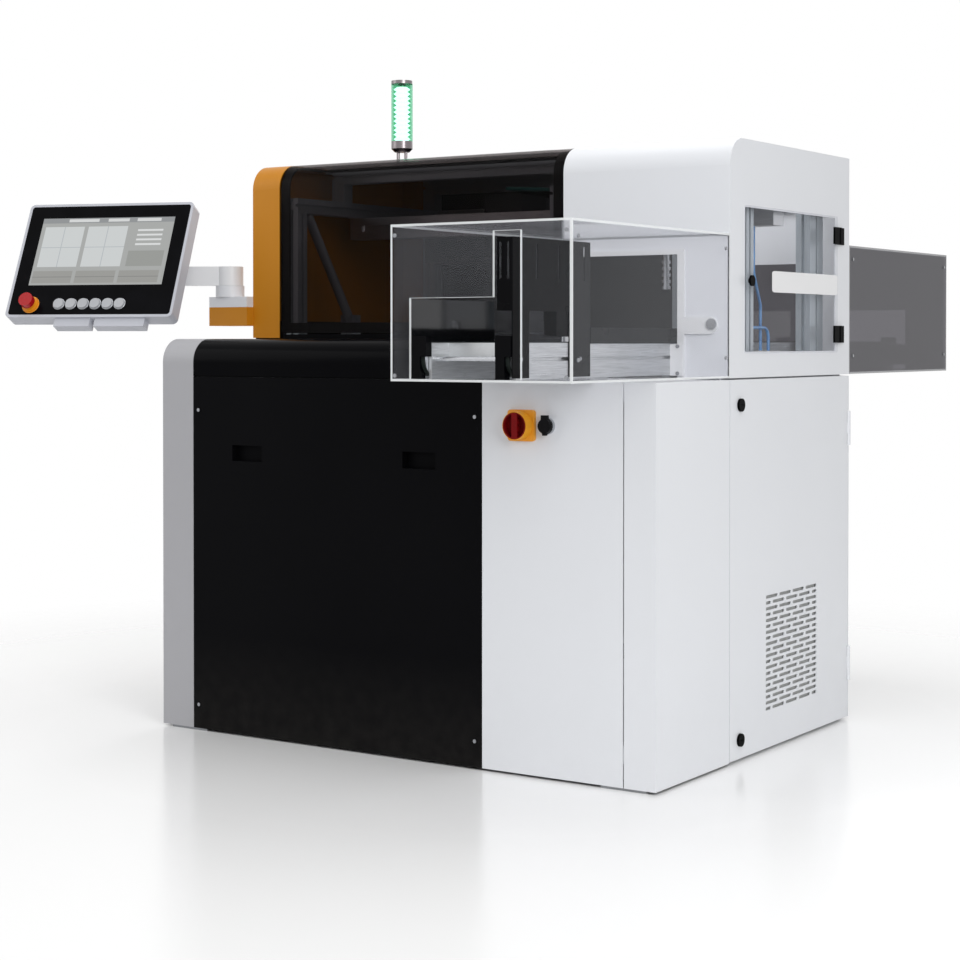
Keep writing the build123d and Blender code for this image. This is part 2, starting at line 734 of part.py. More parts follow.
with BuildPart() as upper_frame:
    for span in (left_x, mid_x):
        for at in (front_y, back_y):
            slotted_bar(span, at, (DECK_TOP, beam_z[0]))
        slotted_bar(span, (front_y[0], back_y[1]), beam_z)
        for at in (hinge_beam_y, back_y):
            block(span, at, (beam_z[1], roof_z[0]))
    slotted_bar(right_x, side_post, (DECK_TOP, beam_z[0]))
    slotted_bar(right_x, rear_post, (DECK_TOP, beam_z[0]))
    slotted_bar(right_x, (side_post[0], back_y[1]), beam_z)
    slotted_bar((left_x[1], mid_x[0]), back_y, beam_z)
    slotted_bar((mid_x[1], right_x[0]), back_y, beam_z)
    slotted_bar((left_x[0], mid_x[1]), hinge_beam_y, roof_z)
    slotted_bar((left_x[0], mid_x[1]), back_y, roof_z)
    slotted_bar(
        left_x,
        (BRACE_FOOT_Y - POST / 2 + Y_H, BRACE_FOOT_Y + POST / 2 + Y_H),
        (DECK_TOP, BRACE_FOOT_Z),
    )
    brace_rise = beam_z[0] - BRACE_FOOT_Z + POST / 2
    brace_run = BRACE_FOOT_Y - BRACE_TOP_Y
    rod(
        (sum(left_x) / 2, Y_H + BRACE_FOOT_Y, BRACE_FOOT_Z - POST / 2),
        BRACE_R,
        math.hypot(brace_rise, brace_run),
        (0, -brace_run, brace_rise),
    )
    for edge in (HOOD_X0 + 2 * HAIR, HOOD_X1 - 2 * HAIR - HOOD_LUG_W):
        block(
            (edge, edge + HOOD_LUG_W),
            (HINGE_Y - 2 * HOOD_PIN_R, hinge_beam_y[0]),
            (HINGE_Z - 2 * HOOD_PIN_R, BODY_TOP - SHEET),
        )
        rod(
            (edge, HINGE_Y, HINGE_Z),
            HOOD_PIN_R + RUNNING,
            HOOD_LUG_W,
            (1, 0, 0),
            Mode.SUBTRACT,
        )
finish(upper_frame, "upper_frame")

# Raised frame round the conveyor's aperture, with the tab that its quarter-turn screw holds
tab_x = (gate_x[1], X_R - TAB_END_IN)
latch_x = X_R - LATCH_IN
latch_z = TAB_Z + SEAM
LATCH_SHAFT_R = 4.5
with BuildPart() as aperture_frame:
    block(
        (gate_x[0] - APER_RIM_RIGHT, gate_x[1] + APER_RIM_RIGHT),
        (Y_H - APER_T, Y_H),
        (DECK_TOP, APER_TOP + APER_RIM),
    )
    block(gate_x, (Y_H - APER_T, Y_H), (DECK_TOP, APER_TOP), mode=Mode.SUBTRACT)
    block(
        (gate_x[1] + HAIR, tab_x[1] - TAB_H / 2),
        (Y_H - APER_T, Y_H),
        (TAB_Z - TAB_H / 2, TAB_Z + TAB_H / 2),
    )
    rod((tab_x[1] - TAB_H / 2, Y_H, TAB_Z), TAB_H / 2, APER_T, (0, -1, 0))
    rod(
        (latch_x, Y_H, latch_z),
        LATCH_SHAFT_R + RUNNING,
        APER_T,
        (0, -1, 0),
        Mode.SUBTRACT,
    )
finish(aperture_frame, "aperture_frame")

with BuildPart() as aperture_latch:
    rod((latch_x, Y_H - HAIR, latch_z), LATCH_SHAFT_R, APER_T, (0, -1, 0))
    rod((latch_x, Y_H - APER_T - RUNNING, latch_z), LATCH_R, LATCH_T, (0, -1, 0))
    block(
        (latch_x - LATCH_R, latch_x + LATCH_R),
        (Y_H - APER_T - 2 * LATCH_T, Y_H - APER_T - LATCH_T / 2),
        (latch_z - HAIR, latch_z + HAIR),
        mode=Mode.SUBTRACT,
    )
finish(aperture_latch, "aperture_latch")


def bent_strip(x, front, low, top, back, radius, thick):
    """A bent sheet between two X limits: upright front, rounded edge, level top."""
    with BuildSketch(Plane.YZ.offset(x[0])) as sheet:
        add(side_profile(front, low, top, back, radius))
        make_face()
        with BuildSketch(mode=Mode.PRIVATE) as hollow:
            add(
                side_profile(
                    front + thick,
                    low,
                    top - thick,
                    back,
                    radius - thick,
                )
            )
            make_face()
        add(hollow.sketch, mode=Mode.SUBTRACT)
    extrude(sheet.sketch, amount=x[1] - x[0])


def hood_notches(thick):
    """Clears the two hinge lugs at the back corners of the hood."""
    for corner in (HOOD_X0, HOOD_X1 - HOOD_LUG_W - 4 * HAIR):
        block(
            (corner, corner + HOOD_LUG_W + 4 * HAIR),
            (hood_back - HOOD_NOTCH, hood_back),
            (BODY_TOP - thick, BODY_TOP),
            mode=Mode.SUBTRACT,
        )


# Tinted hood sheet over the laser bay, and the frame bonded behind its edge
hood_back = Y_H + HOOD_DEPTH
hood_x = (HOOD_X0, HOOD_X1)
with BuildPart() as hood_window:
    bent_strip(hood_x, Y_H, HOOD_BOTTOM, BODY_TOP, hood_back, UPPER_EDGE_R, HOOD_T)
    hood_notches(HOOD_T)
finish(hood_window, "hood_window")

with BuildPart() as hood_frame:
    bent_strip(
        hood_x,
        Y_H + HOOD_T,
        HOOD_BOTTOM,
        BODY_TOP - HOOD_T,
        hood_back,
        UPPER_EDGE_R - HOOD_T,
        HOOD_FRAME_T,
    )
    block(
        (HOOD_X0 + HOOD_BORDER, HOOD_X1 - HOOD_BORDER),
        (Y_H, hood_back - HOOD_BORDER),
        (HOOD_BOTTOM + HOOD_BORDER, BODY_TOP),
        mode=Mode.SUBTRACT,
    )
    hood_notches(2 * HOOD_T)
    block(
        (HOOD_X0 + HOOD_LUG_W + 4 * HAIR, HOOD_X1 - HOOD_LUG_W - 4 * HAIR),
        (hood_back - HAIR, HINGE_Y),
        (HINGE_Z - HOOD_FRAME_T / 2, HINGE_Z + HOOD_FRAME_T / 2),
    )
    rod(
        (HOOD_X0 + 2 * HAIR, HINGE_Y, HINGE_Z),
        HOOD_PIN_R,
        HOOD_X1 - HOOD_X0 - 4 * HAIR,
        (1, 0, 0),
    )
finish(hood_frame, "hood_frame")

# Side window: clear pane, its pull knob and hinge leaves, and the leaves on the housing
pane_x = (X_R + WINDOW_OFF, X_R + WINDOW_OFF + WINDOW_T)
whinge_x = X_R + WINDOW_OFF + WINDOW_T + WHINGE_T / 3
whinge_y = win_y[1] + WHINGE_R + 2.5 * HAIR
whinge_z = (win_z[0] + WHINGE_H + SEAM, win_z[1] - WHINGE_H - 2 * SEAM)
with BuildPart() as window_pane:
    with BuildSketch(Plane.YZ.offset(pane_x[0])) as pane:
        with Locations((sum(win_y) / 2, sum(win_z) / 2)):
            RectangleRounded(win_y[1] - win_y[0], win_z[1] - win_z[0], 2 * SEAM)
    extrude(pane.sketch, amount=WINDOW_T)
finish(window_pane, "window_pane")

third = WHINGE_H / 3
with BuildPart() as window_fittings:
    rod((pane_x[1], knob_y, KNOB_Z), KNOB_R / 2, KNOB_OUT, (1, 0, 0))
    rod((pane_x[1] + KNOB_OUT / 2, knob_y, KNOB_Z), KNOB_R, KNOB_OUT / 2, (1, 0, 0))
    for level in whinge_z:
        mid = (level - third / 2, level + third / 2)
        block(
            (pane_x[1], pane_x[1] + WHINGE_T),
            (whinge_y - WHINGE_W, win_y[1]),
            (level - WHINGE_H / 2, level + WHINGE_H / 2),
        )
        block((pane_x[1], pane_x[1] + WHINGE_T / 2), (win_y[1] - HAIR, whinge_y), mid)
        rod((whinge_x, whinge_y, mid[0]), WHINGE_R, third)
        rod((whinge_x, whinge_y, mid[0]), WHINGE_R / 2 + RUNNING, third, mode=Mode.SUBTRACT)
finish(window_fittings, "window_fittings")

with BuildPart() as window_hinge_bases:
    for level in whinge_z:
        block(
            (X_R, X_R + WHINGE_T),
            (whinge_y + WHINGE_R + HAIR, whinge_y + WHINGE_W),
            (level - WHINGE_H / 2, level + WHINGE_H / 2),
        )
        for low in (level - WHINGE_H / 2, level + third / 2 + RUNNING):
            rod((whinge_x, whinge_y, low), WHINGE_R, third - RUNNING)
            block(
                (X_R + HAIR, whinge_x),
                (whinge_y, whinge_y + WHINGE_R + 2 * HAIR),
                (low, low + third - RUNNING),
            )
        rod((whinge_x, whinge_y, level - WHINGE_H / 2), WHINGE_R / 2, WHINGE_H)
finish(window_hinge_bases, "window_hinge_bases")

# Guard over the front end of the conveyor: bonded clear sheets with a stepped gate
guard_x = (X_BAY, X_R)


def guard_box(y, wall_y, sole_y):
    """Bonded sheets: two sides, a top, one end and a sole under the overhang."""
    block((guard_x[0], guard_x[0] + GUARD_T), y, (GUARD_LOW, GUARD_TOP))
    block((guard_x[1] - GUARD_T, guard_x[1]), y, (GUARD_LOW, GUARD_TOP))
    block(guard_x, y, (GUARD_TOP - GUARD_T, GUARD_TOP))
    block(guard_x, wall_y, (GUARD_LOW, GUARD_TOP))
    block(guard_x, sole_y, (GUARD_LOW, RAIL_BOTTOM))
    block(
        (X_R - GATE_LEFT_IN, X_R - GATE_RIGHT_IN),
        wall_y,
        (RAIL_BOTTOM, GATE_MID),
        mode=Mode.SUBTRACT,
    )


front_wall = (GUARD_Y0, GUARD_Y0 + GUARD_T)
rear_wall = (GUARD_Y1 - GUARD_T, GUARD_Y1)
with BuildPart() as front_guard:
    guard_box((GUARD_Y0, Y_H), front_wall, (GUARD_Y0, Y_F - SEAM))
    block(
        (X_R - GATE_STEP_IN, X_R - GATE_RIGHT_IN),
        front_wall,
        (GATE_MID - HAIR, GATE_TOP),
        mode=Mode.SUBTRACT,
    )
finish(front_guard, "front_guard")

with BuildPart() as rear_guard:
    guard_box((Y_B, GUARD_Y1), rear_wall, (Y_B + SEAM, GUARD_Y1))
finish(rear_guard, "rear_guard")

# Conveyor through the machine: two rails under the belts with cheeks round the pulleys,
# ties, feet, a lane guide and the plate that ties the near rail to the aperture
rail_x = (X_CONV - LANE - RAIL_W / 2, X_CONV + LANE - RAIL_W / 2)
belt_x = (X_CONV - LANE, X_CONV + LANE)
PULLEY_SET = 43.0
shaft_y = (GUARD_Y0 + GUARD_T + PULLEY_SET, GUARD_Y1 - GUARD_T - PULLEY_SET)
rail_y = (GUARD_Y0 + GUARD_T + NOSE_LONG, GUARD_Y1 - GUARD_T - NOSE_LONG)
cap_y = (GUARD_Y0 + GUARD_T + CAP_LONG, GUARD_Y1 - GUARD_T - CAP_LONG)
RAIL_TOP = SHAFT_Z + PULLEY_R + BELT_GAP
belt_low = SHAFT_Z - PULLEY_R - BELT_GAP - BELT_T
TIE_D = 60.0
TIES = 7
TIE_H = 30.0
GUIDE_LONG = 330.0
GUIDE_LOW = 930.0
STAY_Y = 734.0
STAY_LONG = 127.5
STAY_H = 68.0
STAY_W = 22.0
tie_plate_y = Y_H - APER_T - RUNNING
with BuildPart() as conveyor_rails:
    for left in rail_x:
        block((left, left + RAIL_W), rail_y, (RAIL_BOTTOM, RAIL_TOP))
        groove = (left + (RAIL_W - BELT_W) / 2 - HAIR, left + (RAIL_W + BELT_W) / 2 + HAIR)
        block(groove, rail_y, (RAIL_BOTTOM, belt_low + 2 * BELT_T), mode=Mode.SUBTRACT)
        for cheek in ((left, groove[0]), (groove[1], left + RAIL_W)):
            block(cheek, (cap_y[0], rail_y[0]), (RAIL_BOTTOM, RAIL_TOP))
            block(cheek, (rail_y[1], cap_y[1]), (RAIL_BOTTOM, RAIL_TOP))
        for middle in shaft_y:
            rod((left, middle, SHAFT_Z), SHAFT_R + RUNNING, RAIL_W, (1, 0, 0), Mode.SUBTRACT)
    for face in (rail_x[0], rail_x[0] + RAIL_W - SLOT_DEEP):
        block(
            (face, face + SLOT_DEEP),
            rail_y,
            (SHAFT_Z - SLOT_W / 2, SHAFT_Z + SLOT_W / 2),
            mode=Mode.SUBTRACT,
        )
    for face in (rail_x[1], rail_x[1] + RAIL_W - SLOT_DEEP):
        block(
            (face, face + SLOT_DEEP),
            rail_y,
            (SHAFT_Z - SLOT_W / 2, SHAFT_Z + SLOT_W / 2),
            mode=Mode.SUBTRACT,
        )
    pitch = (rail_y[1] - rail_y[0] - TIE_D) / (TIES - 1)
    for number in range(TIES):
        start = rail_y[0] + number * pitch
        block(
            (rail_x[0] + RAIL_W, rail_x[1]),
            (start, start + TIE_D),
            (RAIL_TOP - TIE_H, RAIL_TOP),
        )
    for y in (Y_F + TIE_D, Y_H + TIE_D, Y_B - 2 * TIE_D):
        for left in rail_x:
            inner = left + RAIL_W if left < X_CONV else left - RAIL_W / 2
            block(
                (inner, inner + RAIL_W / 2),
                (y, y + TIE_D),
                (DECK_TOP, SHAFT_Z),
            )
    block(
        (rail_x[0] - GUIDE_T, rail_x[0]),
        (GUARD_Y0 + GUARD_T + HAIR, GUARD_Y0 + GUARD_T + HAIR + GUIDE_LONG),
        (GUIDE_LOW, GUIDE_TOP),
    )
    block(
        (rail_x[1] + RAIL_W, rail_x[1] + RAIL_W + STAY_W),
        (STAY_Y - STAY_LONG / 2, STAY_Y + STAY_LONG / 2),
        (GATE_LOW + 2 * SEAM, GATE_LOW + 2 * SEAM + STAY_H),
    )
    block(
        (rail_x[1] + RAIL_W, gate_x[1] + APER_RIM_RIGHT),
        (tie_plate_y - TIE_PLATE_T, tie_plate_y),
        (TIE_PLATE_LOW, TIE_PLATE_TOP),
    )
finish(conveyor_rails, "conveyor_rails")

with BuildPart() as conveyor_belts:
    for centre in belt_x:
        reach = shaft_y[1] - shaft_y[0]
        inside = 2 * (PULLEY_R + BELT_GAP)
        with BuildSketch(Plane.YZ.offset(centre - BELT_W / 2)) as loop:
            with Locations((sum(shaft_y) / 2, SHAFT_Z)):
                SlotCenterToCenter(reach, inside + 2 * BELT_T)
                SlotCenterToCenter(reach, inside, mode=Mode.SUBTRACT)
        extrude(loop.sketch, amount=BELT_W)
finish(conveyor_belts, "conveyor_belts")

# Black end caps: stepped blocks that close each rail in front of its pulley
with BuildPart() as conveyor_end_caps:
    for end, inward in ((0, 1), (1, -1)):
        outer_y = (GUARD_Y0 + GUARD_T, GUARD_Y1 - GUARD_T)[end] + inward * RUNNING
        seat_y = cap_y[end] - inward * RUNNING
        span_y = (min(outer_y, seat_y), max(outer_y, seat_y))
        for left in rail_x:
            block((left, left + RAIL_W), span_y, (CAP_STEP_Z, CAP_TOP))
            block((left + HAIR, left + RAIL_W - CAP_STEP), span_y, (RAIL_BOTTOM, CAP_STEP_Z))
            rod(
                (left + (RAIL_W - BELT_W) / 2 - HAIR, shaft_y[end], SHAFT_Z),
                PULLEY_R + BELT_GAP + BELT_T + HAIR,
                BELT_W + 2 * HAIR,
                (1, 0, 0),
                Mode.SUBTRACT,
            )
finish(conveyor_end_caps, "conveyor_end_caps")

# Shafts with a pulley under each belt; the rear one runs on into the gear motor
MOTOR_R = 30.0
MOTOR_LONG = 118.0
SHAFT_IN_MOTOR = 22.0
cap_outer = (rail_x[0] + SEAM, rail_x[1] + RAIL_W - SEAM)
shafts = (("conveyor_shaft_front", 0, 0.0), ("conveyor_shaft_rear", 1, SHAFT_IN_MOTOR))
for name, end, extra in shafts:
    with BuildPart() as shaft:
        at = (cap_outer[0] + HAIR, shaft_y[end], SHAFT_Z)
        rod(at, SHAFT_R, cap_outer[1] - cap_outer[0] - 2 * HAIR + extra, (1, 0, 0))
        for centre in belt_x:
            side = (centre - BELT_W / 2, shaft_y[end], SHAFT_Z)
            rod(side, PULLEY_R, BELT_W, (1, 0, 0))
    finish(shaft, name)

with BuildPart() as drive_motor:
    motor_at = (rail_x[1] + RAIL_W, shaft_y[1], SHAFT_Z)
    rod(motor_at, MOTOR_R, MOTOR_LONG, (1, 0, 0))
    rod(motor_at, SHAFT_R + RUNNING, 1.2 * SHAFT_IN_MOTOR, (1, 0, 0), Mode.SUBTRACT)
    block(
        (motor_at[0] + MOTOR_LONG / 2, motor_at[0] + 0.9 * MOTOR_LONG),
        (shaft_y[1] - MOTOR_R / 2, shaft_y[1] + MOTOR_R / 2),
        (SHAFT_Z, SHAFT_Z + 1.2 * MOTOR_R),
    )
finish(drive_motor, "drive_motor")

# Slotted angle bracket beside the lane, the side strip behind it and the tray reader
brk_x = (rail_x[1] + RAIL_W, rail_x[1] + RAIL_W + BRK_T)
brk_y = (GUARD_Y0 + BRK_FRONT_IN, GUARD_Y0 + BRK_FRONT_IN + BRK_LONG)
with BuildPart() as sensor_bracket:
    block(brk_x, brk_y, (BRK_LOW, BRK_TOP))
    block(brk_x, (brk_y[0], brk_y[0] + BRK_LEG), (RAIL_BOTTOM + SEAM, BRK_LOW))
    block(brk_x, (brk_y[1] - BRK_LEG_BACK, brk_y[1]), (RAIL_BOTTOM + SEAM, BRK_LOW))
    block(
        (brk_x[1] - BRK_FLANGE, brk_x[1]),
        (brk_y[0], brk_y[0] + BRK_T),
        (BRK_LOW, BRK_TOP),
    )
    slot_z = BRK_TOP - BRK_SLOT_H / 2 - 4 * BRK_T
    with BuildSketch(Plane.YZ.offset(brk_x[0])) as side_slots:
        for share in (0.3, 0.58, 0.92):
            with Locations((brk_y[0] + share * BRK_LONG, slot_z)):
                SlotOverall(BRK_SLOT_H, BRK_SLOT_W, rotation=90)
    extrude(side_slots.sketch, amount=BRK_T, mode=Mode.SUBTRACT)
    with BuildSketch(Plane.XZ.offset(-brk_y[0])) as front_slots:
        with Locations((brk_x[1] - BRK_FLANGE / 2 - BRK_T, slot_z)):
            with GridLocations(BRK_FLANGE / 2, 1, 2, 1):
                SlotOverall(BRK_SLOT_H, BRK_SLOT_W, rotation=90)
    extrude(front_slots.sketch, amount=-BRK_T, mode=Mode.SUBTRACT)
    block(
        (brk_x[0], brk_x[0] + STRIP_T),
        (brk_y[1] + RUNNING, Y_H + STRIP_IN),
        (RAIL_TOP - STRIP_HOLD, STRIP_TOP),
    )
finish(sensor_bracket, "sensor_bracket")

with BuildPart() as tray_reader:
    block(
        (brk_x[0] - READER_W, brk_x[0]),
        (brk_y[1] - READER_LONG - BRK_LEG_BACK / 9, brk_y[1] - BRK_LEG_BACK / 9),
        (READER_LOW, READER_TOP),
    )
    fillet(tray_reader.edges().filter_by(Axis.Y), SEAM)
finish(tray_reader, "tray_reader")

# Signal tower: foot, two legs, base, core and cap in one piece, and its ribbed lens
tower_x = X_R - TOWER_IN
tower_y = Y_F + TOWER_BACK
LENS_WALL = 3.0
LENS_GAP = 0.3
with BuildPart() as tower_body:
    rod((tower_x, tower_y, BODY_TOP), TOWER_R, 2 * SEAM)
    for side in (-1, 1):
        leg_at = (tower_x + side * TOWER_LEG_OFF, tower_y, BODY_TOP)
        rod(leg_at, TOWER_LEG_R, TOWER_BASE_LOW - BODY_TOP)
    with Locations((tower_x, tower_y, TOWER_BASE_LOW)):
        Cone(
            TOWER_R - TOWER_TAPER,
            TOWER_R,
            TOWER_TAPER,
            align=(Align.CENTER, Align.CENTER, Align.MIN),
        )
    base_h = TOWER_LENS_LOW - TOWER_BASE_LOW - TOWER_TAPER
    rod((tower_x, tower_y, TOWER_LENS_LOW), TOWER_R, base_h, (0, 0, -1))
    rod((tower_x, tower_y, TOWER_LENS_LOW), TOWER_R / 3, TOWER_LENS_TOP - TOWER_LENS_LOW)
    rod((tower_x, tower_y, TOWER_LENS_TOP), TOWER_R, TOWER_CAP_TOP - TOWER_LENS_TOP)
finish(tower_body, "tower_body")

with BuildPart() as tower_lens:
    lens_h = TOWER_LENS_TOP - TOWER_LENS_LOW
    with BuildSketch(Plane.XY.offset(TOWER_LENS_LOW)) as ring:
        with Locations((tower_x, tower_y)):
            Circle(TOWER_R - LENS_WALL / 2)
            with PolarLocations(TOWER_R - LENS_WALL, TOWER_RIBS):
                Circle(LENS_WALL)
            Circle(TOWER_R - 2 * LENS_WALL, mode=Mode.SUBTRACT)
    extrude(ring.sketch, amount=lens_h)
finish(tower_lens, "tower_lens")

# Arm bracket on the left side: a box with a round neck and a pin
hub_x = X_L - HUB_OUT
PIN_R = 12.0
PIN_LONG = 36.0
NECK_GAP = 0.4
with BuildPart() as hmi_bracket:
    block(
        (hub_x - BRACKET_HALF, X_L),
        (HUB_Y - 0.6 * BRACKET_HALF, HUB_Y + 1.4 * BRACKET_HALF),
        (BRACKET_LOW, BRACKET_TOP),
    )
    rod((hub_x, HUB_Y, BRACKET_TOP), HUB_R, ARM_LOW - NECK_GAP - BRACKET_TOP)
    rod((hub_x, HUB_Y, BRACKET_TOP), PIN_R, ARM_LOW + PIN_LONG - BRACKET_TOP)
finish(hmi_bracket, "hmi_bracket")

# Swivel arm: a beam from the hub to a tongue with the pin of the knuckle
arm_dir = (math.cos(math.radians(ARM_TURN)), math.sin(math.radians(ARM_TURN)), 0)
knuckle = (hub_x + ARM_LONG * arm_dir[0], HUB_Y + ARM_LONG * arm_dir[1])
arm_h = ARM_TOP - ARM_LOW
TONGUE_T = 18.0
KPIN_R = 8.0
arm_plane = Plane(origin=(hub_x, HUB_Y, ARM_LOW), x_dir=arm_dir, z_dir=(0, 0, 1))
with BuildPart() as hmi_arm:
    beam_long = ARM_LONG - KNUCKLE_R - SEAM
    with BuildSketch(arm_plane) as beam:
        with Locations((beam_long / 2, 0)):
            Rectangle(beam_long, ARM_W)
        Circle(HUB_R - SEAM)
    extrude(beam.sketch, amount=arm_h)
    with BuildSketch(arm_plane) as tongue:
        with Locations((ARM_LONG - KNUCKLE_R, 0)):
            Rectangle(2 * KNUCKLE_R, ARM_W)
        with Locations((ARM_LONG, 0)):
            Circle(ARM_W / 2)
    extrude(tongue.sketch, amount=TONGUE_T)
    rod((knuckle[0], knuckle[1], ARM_LOW), KPIN_R, arm_h - 2 * SEAM)
    rod((hub_x, HUB_Y, ARM_LOW), PIN_R + NECK_GAP, PIN_LONG + SEAM, mode=Mode.SUBTRACT)
finish(hmi_arm, "hmi_arm")

# Panel frame: u runs along its width, v up its face, w out of it
yaw = math.radians(HMI_YAW)
lean = math.radians(HMI_TILT)
ux = (math.cos(yaw), math.sin(yaw), 0)
out = (math.sin(yaw) * math.cos(lean), -math.cos(yaw) * math.cos(lean), math.sin(lean))
panel = Plane(origin=(HMI_X, HMI_Y, HMI_Z), x_dir=ux, z_dir=out)


def on_panel(u, v, w):
    """A point given in the panel's own directions."""
    return panel.from_local_coords(Vector(u, v, w))


TILT_GAP = 4.0
TILT_LONG = 40.0
EAR_T = 10.0
EAR_GAP = 0.5
TPIN_R = 5.0
tilt_w = -HMI_T - TILT_R - TILT_GAP
tilt_z = ARM_LOW + TONGUE_T + NECK_GAP + TILT_R
tilt_v = (tilt_z - HMI_Z - tilt_w * out[2]) / math.cos(lean)
tilt_at = on_panel(0, tilt_v, tilt_w)
neck_long = (tilt_at.X - knuckle[0]) * ux[1] - (tilt_at.Y - knuckle[1]) * ux[0]
neck_side = (tilt_at.X - knuckle[0]) * ux[0] + (tilt_at.Y - knuckle[1]) * ux[1]
knuckle_plane = Plane(
    origin=(knuckle[0], knuckle[1], ARM_LOW + TONGUE_T + NECK_GAP),
    x_dir=ux,
    z_dir=(0, 0, 1),
)
with BuildPart() as hmi_knuckle:
    with BuildSketch(knuckle_plane) as body:
        Circle(KNUCKLE_R)
    extrude(body.sketch, amount=arm_h - TONGUE_T - NECK_GAP)
    with BuildSketch(knuckle_plane.offset(HAIR)) as neck:
        with Locations((neck_side / 2, -neck_long / 2)):
            Rectangle(TILT_LONG - abs(neck_side), neck_long)
    extrude(neck.sketch, amount=2 * TILT_R - 2 * HAIR)
    rod(on_panel(-TILT_LONG / 2, tilt_v, tilt_w), TILT_R, TILT_LONG, ux)
    rod(
        on_panel(-TILT_LONG / 2, tilt_v, tilt_w),
        TPIN_R + NECK_GAP,
        TILT_LONG,
        ux,
        Mode.SUBTRACT,
    )
    rod(
        (knuckle[0], knuckle[1], ARM_LOW),
        KPIN_R + NECK_GAP,
        arm_h - SEAM,
        mode=Mode.SUBTRACT,
    )
finish(hmi_knuckle, "hmi_knuckle")

# Panel housing: recess for the glass, bores for the keys, ears and pin for the tilt
KEY_DEEP = 18.0
KEY_IN = 13.0
STEM_R = 8.0
RING_T = 5.0
POD_H = 24.0
POD_W = 30.0
PODS = ((-98.0, 6.0), (20.5, 166.5))
button_at = [(BUTTON_U + n * BUTTON_PITCH, BUTTON_V) for n in range(BUTTONS)]
with BuildPart() as hmi_housing:
    with BuildSketch(panel.offset(-HMI_T)) as slab:
        RectangleRounded(GLASS_W + 2 * HMI_RIM, GLASS_H + 2 * HMI_RIM, HMI_R)
    extrude(slab.sketch, amount=HMI_T)
    with BuildSketch(panel.offset(-GLASS_T)) as recess:
        RectangleRounded(GLASS_W + 2 * LENS_GAP, GLASS_H + 2 * LENS_GAP, HMI_RIM)
    extrude(recess.sketch, amount=GLASS_T, mode=Mode.SUBTRACT)
    rod(on_panel(ESTOP_U, ESTOP_V, -GLASS_T), ESTOP_RING_R, GLASS_T + RING_T, out)
    rod(
        on_panel(ESTOP_U, ESTOP_V, -KEY_DEEP),
        STEM_R + BUTTON_FIT,
        KEY_DEEP + RING_T,
        out,
        Mode.SUBTRACT,
    )
    for u, v in button_at:
        rod(
            on_panel(u, v, -KEY_DEEP),
            BUTTON_R + BUTTON_FIT,
            KEY_DEEP,
            out,
            Mode.SUBTRACT,
        )
    for u0, u1 in PODS:
        with BuildSketch(panel.offset(-HMI_T / 2 - POD_W / 2)) as pod:
            with Locations(((u0 + u1) / 2, -GLASS_H / 2 - HMI_RIM - POD_H / 2)):
                Rectangle(u1 - u0, POD_H)
        extrude(pod.sketch, amount=POD_W)
    with BuildSketch(panel.offset(tilt_w - TILT_R)) as ears:
        with Locations((0, tilt_v)):
            with GridLocations(TILT_LONG + 2 * EAR_GAP + EAR_T, 1, 2, 1):
                Rectangle(EAR_T, 2 * TILT_R)
    extrude(ears.sketch, amount=2 * TILT_R + TILT_GAP)
    rod(
        on_panel(-TILT_LONG / 2 - EAR_GAP - EAR_T, tilt_v, tilt_w),
        TPIN_R,
        TILT_LONG + 2 * EAR_GAP + 2 * EAR_T,
        ux,
    )
finish(hmi_housing, "hmi_housing")

with BuildPart() as hmi_glass:
    with BuildSketch(panel.offset(-GLASS_T)) as sheet:
        RectangleRounded(GLASS_W, GLASS_H, HMI_RIM - LENS_GAP)
        with Locations((ESTOP_U, ESTOP_V)):
            Circle(ESTOP_RING_R + LENS_GAP, mode=Mode.SUBTRACT)
        with Locations(*button_at):
            Circle(BUTTON_R + BUTTON_FIT, mode=Mode.SUBTRACT)
    extrude(sheet.sketch, amount=GLASS_T)
finish(hmi_glass, "hmi_glass")

with BuildPart() as estop_cap:
    rod(on_panel(ESTOP_U, ESTOP_V, -KEY_IN + HAIR), STEM_R, ESTOP_OUT, out)
    rod(
        on_panel(ESTOP_U, ESTOP_V, ESTOP_OUT / 2),
        ESTOP_R,
        ESTOP_OUT / 2,
        out,
    )
finish(estop_cap, "estop_cap")

for number, (u, v) in enumerate(button_at):
    with BuildPart() as button:
        rod(on_panel(u, v, -KEY_IN), BUTTON_R, KEY_IN + BUTTON_OUT, out)
    finish(button, "hmi_button_" + str(number + 1))

# Gantry beam across the housing, and the shuttle's rail on the deck
beam_y = (BEAM_FRONT_Y, BEAM_FRONT_Y + BEAM_H)
gantry_z = (beam_z[0] - BEAM_H, beam_z[0])
RAIL_H = 30.0
SHUTTLE_RAIL_W = 60.0
shuttle_y = (GRIPPER_Y - SHUTTLE_W / 2, GRIPPER_Y + SHUTTLE_W / 2)
with BuildPart() as gantry_beam:
    block((left_x[0], right_x[1]), beam_y, gantry_z)
    block(
        (left_x[0] + POST, right_x[1] - POST),
        (beam_y[0], beam_y[0] + SLOT_DEEP),
        (gantry_z[0] + BEAM_H / 2 - SLOT_W, gantry_z[0] + BEAM_H / 2 + SLOT_W),
        mode=Mode.SUBTRACT,
    )
    block(
        (STATION_X - SHUTTLE_RAIL_W / 2, STATION_X + SHUTTLE_RAIL_W / 2),
        (shuttle_y[0] - SLOT_DEEP, shuttle_y[1] + SHUTTLE_TRAVEL + HAIR),
        (DECK_TOP, DECK_TOP + RAIL_H),
    )
finish(gantry_beam, "gantry_beam")

